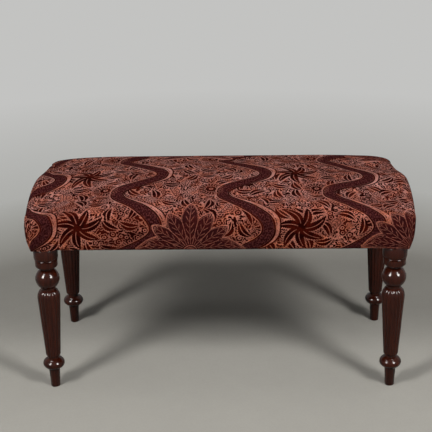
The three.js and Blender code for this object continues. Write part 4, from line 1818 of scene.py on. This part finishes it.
@dataclass
class TopCover:
    """The velvet cover: drawn over the stuffing, folded at its corners and turned under the rails."""

    shape: SeatShape
    thickness: float = 1.2 * MM
    side_inset: float = 0.8 * MM
    top_inset: float = 5.2 * MM
    swell_cap: float = 1.4 * MM
    hem_rise: float = 4.8 * MM
    turn_under: float = 16 * MM
    turn_at_block: float = 2.6 * MM
    turn_up_at_block: float = 8 * MM
    block_edges: tuple[Pair, ...] = ((364 * MM, 372 * MM), (133 * MM, 141 * MM))
    pleat_column: int = 17
    flat_size: Pair = (0.61, 1.10)
    lap_start: float = 8 * MM
    lap: Pair = (3.2 * MM, 26 * MM)
    crease: Pair = (3.0 * MM, 5 * MM)
    fullness: Triple = (1.6 * MM, 20 * MM, 10 * MM)
    fold_edge: float = 0.9 * MM
    side_height: tuple[Pair, ...] = ((368 * MM, 400 * MM), (425 * MM, 460 * MM))
    top_height: Pair = (455 * MM, 470 * MM)
    hem_band: tuple[Pair, ...] = ((400 * MM, 372 * MM), (360 * MM, 366 * MM))
    tack_pitch: float = 31 * MM
    tack_pull: float = 0.7 * MM

    def tucks(self, hem: Rows) -> list[Rows]:
        """The rings of the edge that is turned under, from its inner edge out to the hem.

        Args:
            hem: the hem's ring.

        Returns:
            Three rings.
        """
        facing = self.shape.facing()
        near_x, near_y = self.block_edges
        at_block = between(np.abs(hem[:, 0]), *near_x) * between(np.abs(hem[:, 1]), *near_y)
        width = part_way(self.turn_under, self.turn_at_block, at_block)
        up = self.turn_up_at_block * np.clip((at_block - 0.8) / 0.2, 0, 1)
        made = []
        for share, nearest, lift in ((1.0, 2.6 * MM, 1.0), (0.6, 2.6 * MM, 0.45), (0.0, 1.5 * MM, 0.0)):
            inward = np.minimum(np.maximum(width * share, nearest), width)
            ring = hem.copy()
            ring[:, :2] -= facing * inward[:, None]
            ring[:, 2] += up * lift - self.hem_rise
            made.append(ring)
        return made

    def cloth_places(self, rings: list[Rows], top: int, front: bool) -> list[Rows]:
        """Where each point lies on the flat cloth, if its column belongs to the long or the short sides.

        Args:
            rings: all rings from the turned edge to the middle of the top.
            top: the number of the ring at the edge of the top.
            front: whether the columns hang down the long sides.

        Returns:
            A row of two flat metres for each point of each ring.
        """
        facing = self.shape.facing()
        snapped = np.zeros_like(facing)
        kept = 1 if front else 0
        snapped[:, kept] = np.sign(facing[:, kept]) + (facing[:, kept] == 0)
        made = [ring[:, :2].copy() for ring in rings]
        widest = top - self.shape.shoulder_steps
        for low in range(top - 1, -1, -1):
            step = rings[low] - rings[low + 1]
            snap = between(top - low, 1, 7)
            down = facing * (1 - snap) + snapped * snap
            way = step[:, :2] + np.abs(step[:, 2])[:, None] * down
            if low < widest:
                way = down
            length = np.linalg.norm(way, axis=1)
            way = way / np.maximum(length, 1e-9)[:, None]
            made[low] = made[low + 1] + way * np.linalg.norm(step, axis=1)[:, None]
        return made

    def sides_of_faces(self, count: int) -> Rows:
        """Sorts the columns of faces to the sides of the seat.

        Args:
            count: how many columns there are.

        Returns:
            Whether each hangs down a long side.
        """
        column = np.arange(count)
        half = count // 2
        place = np.minimum(column % half, half - 1 - column % half)
        return place >= self.pleat_column

    def fold_distance(self, rings: list[Rows]) -> Rows:
        """Distance along its ring from each point to the nearest fold, more than 0 on the long sides.

        Args:
            rings: all rings.

        Returns:
            One number for each point.
        """
        made = []
        for ring in rings:
            after = np.roll(ring, -1, axis=0)
            steps = np.linalg.norm(after - ring, axis=1)
            along = np.concatenate([[0], np.cumsum(steps)])
            quarter = len(ring) // 4
            place = np.arange(len(ring))
            half = place % (2 * quarter)
            mirrored = np.where(half > quarter, 2 * quarter - half, half)
            made.append(along[mirrored] - along[self.pleat_column])
        return np.concatenate(made)

    def lay(self) -> Object:
        """Lays the cloth on the seat, with its flat places as a UV map.

        Returns:
            The cloth, without thickness.
        """
        rings = self.shape.rings(0)
        facing = np.column_stack([self.shape.facing(), np.zeros(len(rings[0]))])
        edge = self.shape.side_steps + self.shape.shoulder_steps
        for number, ring in enumerate(rings):
            side = 1 - between(number, edge - 11, edge - 2)
            ring -= facing * (self.side_inset * side)
            ring[:, 2] -= self.top_inset * (1 - side)
            if number == 0:
                ring[:, 2] += self.hem_rise
        tucks = self.tucks(rings[0])
        rings = [*tucks, *rings]
        piece = loft("velvet_cover", rings)
        mesh = piece.data
        count = len(rings[0])
        levels = np.repeat(np.arange(len(rings), dtype=float) - len(tucks), count)
        mesh.attributes.new("fold", "FLOAT", "POINT").data.foreach_set("value", self.fold_distance(rings))
        mesh.attributes.new("level", "FLOAT", "POINT").data.foreach_set("value", levels)
        long_side = self.sides_of_faces(count)
        top = len(tucks) + edge
        flat = {side: np.vstack(self.cloth_places(rings, top, side)) for side in (False, True)}
        corners = np.empty(len(mesh.loops), dtype=int)
        mesh.loops.foreach_get("vertex_index", corners)
        side = np.repeat(long_side[np.arange(len(mesh.polygons)) % count], 4)
        places = np.where(side[:, None], flat[True][corners], flat[False][corners])
        mesh.uv_layers.new(name="cloth").data.foreach_set("uv", places.ravel())
        tidy_shell(piece)
        return piece

    def fold_corners(self, piece: Object) -> None:
        """Works the folds of the corners in: the side's cloth laps over the end's.

        Args:
            piece: the cloth.
        """
        points, normals = read_points(piece), read_normals(piece)
        fold, level = np.empty(len(points)), np.empty(len(points))
        piece.data.attributes["fold"].data.foreach_get("value", fold)
        piece.data.attributes["level"].data.foreach_get("value", level)
        widest = self.shape.side_steps
        shown = (1 - between(level, widest + 1, widest + 6)) * between(level, 0, 5)
        lap = self.lap[0] * np.exp(-((np.maximum(fold - self.lap_start, 0) / self.lap[1]) ** 2))
        under = -self.crease[0] * np.exp(-np.abs(fold) / self.crease[1])
        full, middle, spread = self.fullness
        under += full * np.exp(-(((fold + middle) / spread) ** 2))
        share = 0.5 + 0.5 * np.tanh(fold / self.fold_edge)
        write_points(piece, points + normals * ((under * (1 - share) + lap * share) * shown)[:, None])

    def soften(self, piece: Object) -> None:
        """Adds what the hand leaves: a slight unevenness, and pulls at the tacks of the hem.

        Args:
            piece: the cloth.
        """
        points, normals = read_points(piece), read_normals(piece)
        height = points[:, 2]
        side = between(height, *self.side_height[0]) * (1 - between(height, *self.side_height[1]))
        top = between(height, *self.top_height)
        away = (0.2 * MM + lumps(points, 120 * MM, 1.7) * 1.1 * MM) * side
        away += lumps(points, 90 * MM, 4.9) * 0.9 * MM * top + lumps(points, 32 * MM, 8.2) * 0.3 * MM * top
        along = np.where(np.abs(normals[:, 1]) > 0.7, points[:, 0], points[:, 1])
        tacks = np.cos(2 * math.pi * along / self.tack_pitch)
        hem = between(height, *self.hem_band[0]) * between(height, *self.hem_band[1])
        away -= (0.5 + 0.5 * tacks) * self.tack_pull * hem
        write_points(piece, points + normals * away[:, None])

    def build(self, finish: Material) -> None:
        """Lays, simulates, folds and thickens the cover.

        Args:
            finish: the velvet.
        """
        piece = self.lay()
        held = read_points(piece)[:, 2] < self.shape.hem_height + 4 * MM
        swell(piece, held, self.swell_cap)
        apply_modifier(piece, "SUBSURF", levels=1, render_levels=1)
        self.fold_corners(piece)
        self.soften(piece)
        write_points(piece, self.shape.handled(read_points(piece)))
        apply_modifier(piece, "SOLIDIFY", thickness=self.thickness, offset=-1)
        smooth(piece, 75)
        report(piece, finish, "cover_velvet", "top_cover")


@dataclass
class BottomingCloth:
    """The black cloth under the seat, notched round the legs, with the row of pins that holds it."""

    half: Pair = (422.5 * MM, 191.5 * MM)
    notch: Pair = (357 * MM, 126 * MM)
    height: float = 363.3 * MM
    thickness: float = 0.7 * MM
    sag: float = 2.5 * MM
    pin_pitch: float = 45 * MM
    pin_inset: float = 7 * MM
    pin_radius: float = 2.8 * MM
    pin_rise: float = 1.0 * MM
    free_half: Pair = (400 * MM, 172 * MM)
    pucker: float = 0.45 * MM
    pucker_band: Pair = (34 * MM, 6 * MM)
    cells_along: tuple[int, int] = (96, 9)
    cells_across: tuple[int, int] = (34, 9)

    def stations(self, half: float, notch: float, inner: int, outer: int) -> Rows:
        """Places of the grid's lines on one axis, with lines on the notches' edges."""
        outside = np.linspace(notch, half, outer + 1)[1:]
        return np.concatenate([-outside[::-1], np.linspace(-notch, notch, inner + 1), outside])

    def sheet(self) -> Object:
        """Cuts the cloth, sagging a little between the rails.

        Returns:
            The notched cloth, without thickness.
        """
        along = self.stations(self.half[0], self.notch[0], *self.cells_along)
        across = self.stations(self.half[1], self.notch[1], *self.cells_across)
        grid_x, grid_y = np.meshgrid(along, across)
        hang = 1 - np.minimum(np.abs(grid_x) / self.free_half[0], 1) ** 2
        hang *= 1 - np.minimum(np.abs(grid_y) / self.free_half[1], 1) ** 2
        grid_z = self.height - self.sag * hang
        points = np.column_stack([grid_x.ravel(), grid_y.ravel(), grid_z.ravel()])
        faces = []
        for row in range(len(across) - 1):
            for column in range(len(along) - 1):
                middle_x = (along[column] + along[column + 1]) / 2
                middle_y = (across[row] + across[row + 1]) / 2
                if abs(middle_x) > self.notch[0] and abs(middle_y) > self.notch[1]:
                    continue
                first = row * len(along) + column
                faces.append((first, first + 1, first + 1 + len(along), first + len(along)))
        piece = skin("bottoming_sheet", points, faces)
        take(piece)
        bpy.ops.object.mode_set(mode="EDIT")
        bpy.ops.mesh.select_all(action="SELECT")
        bpy.ops.mesh.delete_loose()
        bpy.ops.object.mode_set(mode="OBJECT")
        return piece

    def ripple(self, piece: Object) -> None:
        """Works small puckers into the cloth between the pins.

        Args:
            piece: the cloth.
        """
        points = read_points(piece)
        x, y = points[:, 0], points[:, 1]
        start, end = self.pucker_band
        near_x = between(np.abs(x), self.half[0] - start, self.half[0] - end)
        near_y = between(np.abs(y), self.half[1] - start, self.half[1] - end)
        wave = np.cos(2 * math.pi * y / self.pin_pitch) * near_x
        wave = self.pucker * (wave + np.cos(2 * math.pi * x / self.pin_pitch) * near_y)
        inside = 1 - np.maximum(near_x, near_y)
        points[:, 2] += -np.abs(wave) + 0.5 * MM * lumps(points, 60 * MM, 5.5) * inside
        write_points(piece, points)

    def pin_places(self) -> list[Pair]:
        """Spaces the pins along the four edges, between the notches.

        Returns:
            Place along and across of each.
        """
        edge_x, edge_y = self.half[0] - self.pin_inset, self.half[1] - self.pin_inset
        reach_x, reach_y = self.notch[0] - self.pin_inset, self.notch[1] - self.pin_inset
        places = []
        for x in np.linspace(-reach_x, reach_x, round(2 * reach_x / self.pin_pitch) + 1):
            places += [(x, -edge_y), (x, edge_y)]
        for y in np.linspace(-reach_y, reach_y, round(2 * reach_y / self.pin_pitch) + 1):
            places += [(-edge_x, y), (edge_x, y)]
        return places

    def pins(self, finish: Material) -> None:
        """One domed pin head, modelled once and copied along the cloth's edge.

        Args:
            finish: the pins' metal.
        """
        dome = [
            (self.pin_radius, 0), (self.pin_radius * 0.96, 0.25 * MM), (self.pin_radius * 0.72, 0.7 * MM),
            (self.pin_radius * 0.34, self.pin_rise),
        ]
        model = turned("pin_head", dome, 10)
        model.data.transform(Matrix.Rotation(math.pi, 4, "X"))
        low = self.height - self.thickness / 2
        made = []
        for k, (x, y) in enumerate(self.pin_places()):
            copy = own_copy(model, f"pin_{k}")
            copy.data.transform(Matrix.Translation((x, y, low)))
            made.append(copy)
        bpy.data.objects.remove(model)
        take(made[0])
        for pin in made[1:]:
            pin.select_set(True)
        bpy.ops.object.join()
        pins = named("cloth_pins")
        smooth(pins, 50)
        report(pins, finish, "screw_brass")

    def build(self, finish: Material, metal: Material) -> None:
        """Makes the cloth and its pins.

        Args:
            finish: the black cloth.
            metal: the pins' metal.
        """
        piece = self.sheet()
        self.ripple(piece)
        apply_modifier(piece, "SOLIDIFY", thickness=self.thickness, offset=0)
        smooth(piece, 60)
        report(piece, finish, "bottoming_black", "bottoming_cloth")
        self.pins(metal)


# Studio


@dataclass(frozen=True)
class Viewpoint:
    """The camera: where it stands and how it is turned."""

    place: Triple = (0.06084, -2.56330, 1.39853)
    right: Triple = (0.99963, 0.02155, -0.01669)
    up: Triple = (0.00744, 0.37347, 0.92761)
    ahead: Triple = (-0.02622, 0.92739, -0.37317)
    lens: float = 95.26
    sensor: float = 36.0

    def make(self) -> None:
        """Creates the camera and makes it the scene's own."""
        camera = bpy.data.cameras.new("camera")
        camera.lens = self.lens
        camera.sensor_width = self.sensor
        camera.sensor_fit = "HORIZONTAL"
        camera.clip_end = 100
        holder = bpy.data.objects.new("camera", camera)
        turn = Matrix((self.right, self.up, -Vector(self.ahead))).transposed()
        holder.matrix_world = Matrix.Translation(self.place) @ turn.to_4x4()
        bpy.context.scene.collection.objects.link(holder)
        bpy.context.scene.camera = holder


@dataclass(frozen=True)
class Lamp:
    """One soft lamp: the direction it stands in, its power, its size and whether it only makes shine."""

    name: str
    toward: Triple
    power: float
    size: float = 0.6
    tall: float = 1.0
    distance: float = 3.2
    only_shine: bool = False
    colour: Colour = (1.0, 0.97, 0.93)

    def make(self, aim: Vector) -> None:
        """Creates the lamp, turned to a point.

        Args:
            aim: the point.
        """
        light = bpy.data.lights.new(self.name, "AREA")
        light.energy = self.power
        light.shape = "RECTANGLE"
        light.size = self.size
        light.size_y = self.size * self.tall
        holder = bpy.data.objects.new(self.name, light)
        if self.only_shine:
            light.color = self.colour
            holder.visible_diffuse = False
        direction = Vector(self.toward).normalized()
        holder.location = aim + direction * self.distance
        holder.rotation_euler = direction.to_track_quat("Z", "Y").to_euler()
        bpy.context.scene.collection.objects.link(holder)


@dataclass(frozen=True)
class Studio:
    """A plain pale floor that runs into a pale distance, soft lamps and a little light all round."""

    lamps: tuple[Lamp, ...] = (
        Lamp("key_left", (-0.80, -0.86, 1.0), 64, tall=1.8),
        Lamp("key_right", (0.80, -0.86, 1.0), 64, tall=1.8),
        Lamp("high_left", (-0.41, -0.09, 0.91), 4, size=0.4),
        Lamp("high_right", (0.34, 0.02, 0.94), 4, size=0.4),
        Lamp("shine_left", (-0.86, -0.94, 0.58), 150, size=0.95, only_shine=True),
        Lamp("shine_right", (0.86, -0.94, 0.58), 150, size=0.95, only_shine=True),
        Lamp("high_shine_left", (-0.41, -0.09, 0.91), 60, only_shine=True),
        Lamp("high_shine_right", (0.34, 0.02, 0.94), 60, only_shine=True),
    )
    floor_colour: Colour = (0.365, 0.35, 0.315)
    near_distance: Colour = (0.375, 0.375, 0.355)
    far_distance: Colour = (0.545, 0.545, 0.535)
    far_from: Pair = (1.05, 0.5)
    deep_from: Pair = (1.7, 1.5)
    all_round: float = 0.11
    floor_half: float = 20.0
    aim: Triple = (0, 0, 0.3)

    def floor_material(self, groups: Groups) -> Material:
        """Pale board near the stool; farther off, its own pale colour for what looks at it.

        Args:
            groups: the shared node groups.

        Returns:
            The material.
        """
        material, graph, shader = blank_material("studio_floor")
        place = object_place(graph)
        x, y, _ = graph.parts(place)
        away = x.reach(y)
        mottle = graph.group(groups.rubbed, Vector=place, Scale=3.0)["Patches"]
        speck = graph.noise(place, 160, 2)
        shown = (mottle - 0.5) * 0.16 + (speck - 0.5) * 0.08 + 1.0
        tone = graph.give(graph.add("Mix", data_type="RGBA", blend_type="MULTIPLY"), Factor=1.0)
        graph.feed(tone.inputs[6], self.floor_colour)
        graph.feed(tone.inputs[7], graph.vector(shown, shown, shown))
        far = away.below(*self.far_from).outside() * looked_at(graph)
        deep = away.below(*self.deep_from).outside()
        graph.give(
            shader, Base_Color=graph.mix(far, tone.outputs[2], (0, 0, 0)), Roughness=0.85,
            Specular_IOR_Level=0.0, Emission_Strength=far,
            Emission_Color=graph.mix(deep, self.near_distance, self.far_distance),
        )
        return material

    def floor(self, groups: Groups) -> None:
        """Lays the floor.

        Args:
            groups: the shared node groups.
        """
        to_object_mode()
        bpy.ops.mesh.primitive_plane_add(size=2 * self.floor_half, location=(0, 0, 0))
        plane = named("studio_floor")
        plane.data.materials.append(self.floor_material(groups))

    def surroundings(self) -> None:
        """Makes the world: a little light all round, and a pale grey where it is seen."""
        world = bpy.data.worlds.new("studio")
        bpy.context.scene.world = world
        world.use_nodes = True
        world.node_tree.nodes.clear()
        graph = Graph(world.node_tree)
        shown = graph.mix(looked_at(graph), (self.all_round,) * 3, self.far_distance)
        light = graph.give(graph.add("Background"), Color=shown)
        output = graph.add("OutputWorld")
        graph.feed(output.inputs["Surface"], light.outputs[0])

    def build(self, groups: Groups) -> None:
        """Sets up the floor, the lamps and the world.

        Args:
            groups: the shared node groups.
        """
        self.floor(groups)
        for lamp in self.lamps:
            lamp.make(Vector(self.aim))
        self.surroundings()
        bpy.context.scene.view_settings.view_transform = "Standard"


MAHOGANY = Wood(
    "leg_mahogany_polished", (0.052, 0.0085, 0.003), (0.019, 0.0034, 0.0015), (0.008, 0.002, 0.001),
    (0.16, 0.3), 0.34, 1.0,
)
BEECH = Wood(
    "frame_beech_plain", (0.60, 0.40, 0.22), (0.46, 0.29, 0.15), (0.30, 0.18, 0.09),
    (0.5, 0.7), 0.0, 0.8, axis=(0.0, math.pi / 2, 0.0),
)
BRASS = Metal("screw_brass_dull", (0.62, 0.45, 0.20), (0.34, 0.23, 0.10), (0.3, 0.5))
JUTE = Cloth("webbing_jute_plain", (0.47, 0.33, 0.17), (0.24, 0.15, 0.07), 450, 0.0005)
HESSIAN = Cloth("hessian_plain", (0.42, 0.31, 0.18), (0.20, 0.13, 0.065), 560, 0.0004)
HAIR = Fibre("stuffing_hair_curled", (0.12, 0.075, 0.045), (0.03, 0.018, 0.012), 420)
COTTON = Fibre("wadding_cotton_soft", (0.80, 0.77, 0.70), (0.62, 0.58, 0.50), 260)
LINING = Cloth("bottoming_black_cloth", (0.030, 0.029, 0.030), (0.010, 0.010, 0.011), 1100, 0.00015)


def main() -> None:
    """Builds the studio and the stool, piece by piece."""
    logging.basicConfig(level=logging.INFO, format="%(message)s")
    groups = Groups(
        grain=new_group("wood_grain", wood_grain, Vector=None, Scale=1.0),
        weave=new_group("plain_weave", plain_weave, Vector=None, Threads=1000.0),
        rubbed=new_group("rubbed_patches", rubbed_patches, Vector=None, Scale=10.0),
    )
    Viewpoint().make()
    Studio().build(groups)
    beech, brass = BEECH.make(groups), BRASS.make(groups)
    TurnedLeg().build(MAHOGANY.make(groups))
    SeatFrame().dress(beech, brass)
    Webbing().build(JUTE.make(groups))
    Hessian().build(HESSIAN.make(groups))
    shape = SeatShape()
    filling = Filling(shape)
    filling.stuffing(HAIR.make(groups))
    filling.wadding(COTTON.make(groups))
    TopCover(shape).build(Velvet().make(groups))
    BottomingCloth().build(LINING.make(groups), brass)
    to_object_mode()


if __name__ == "__main__":
    main()
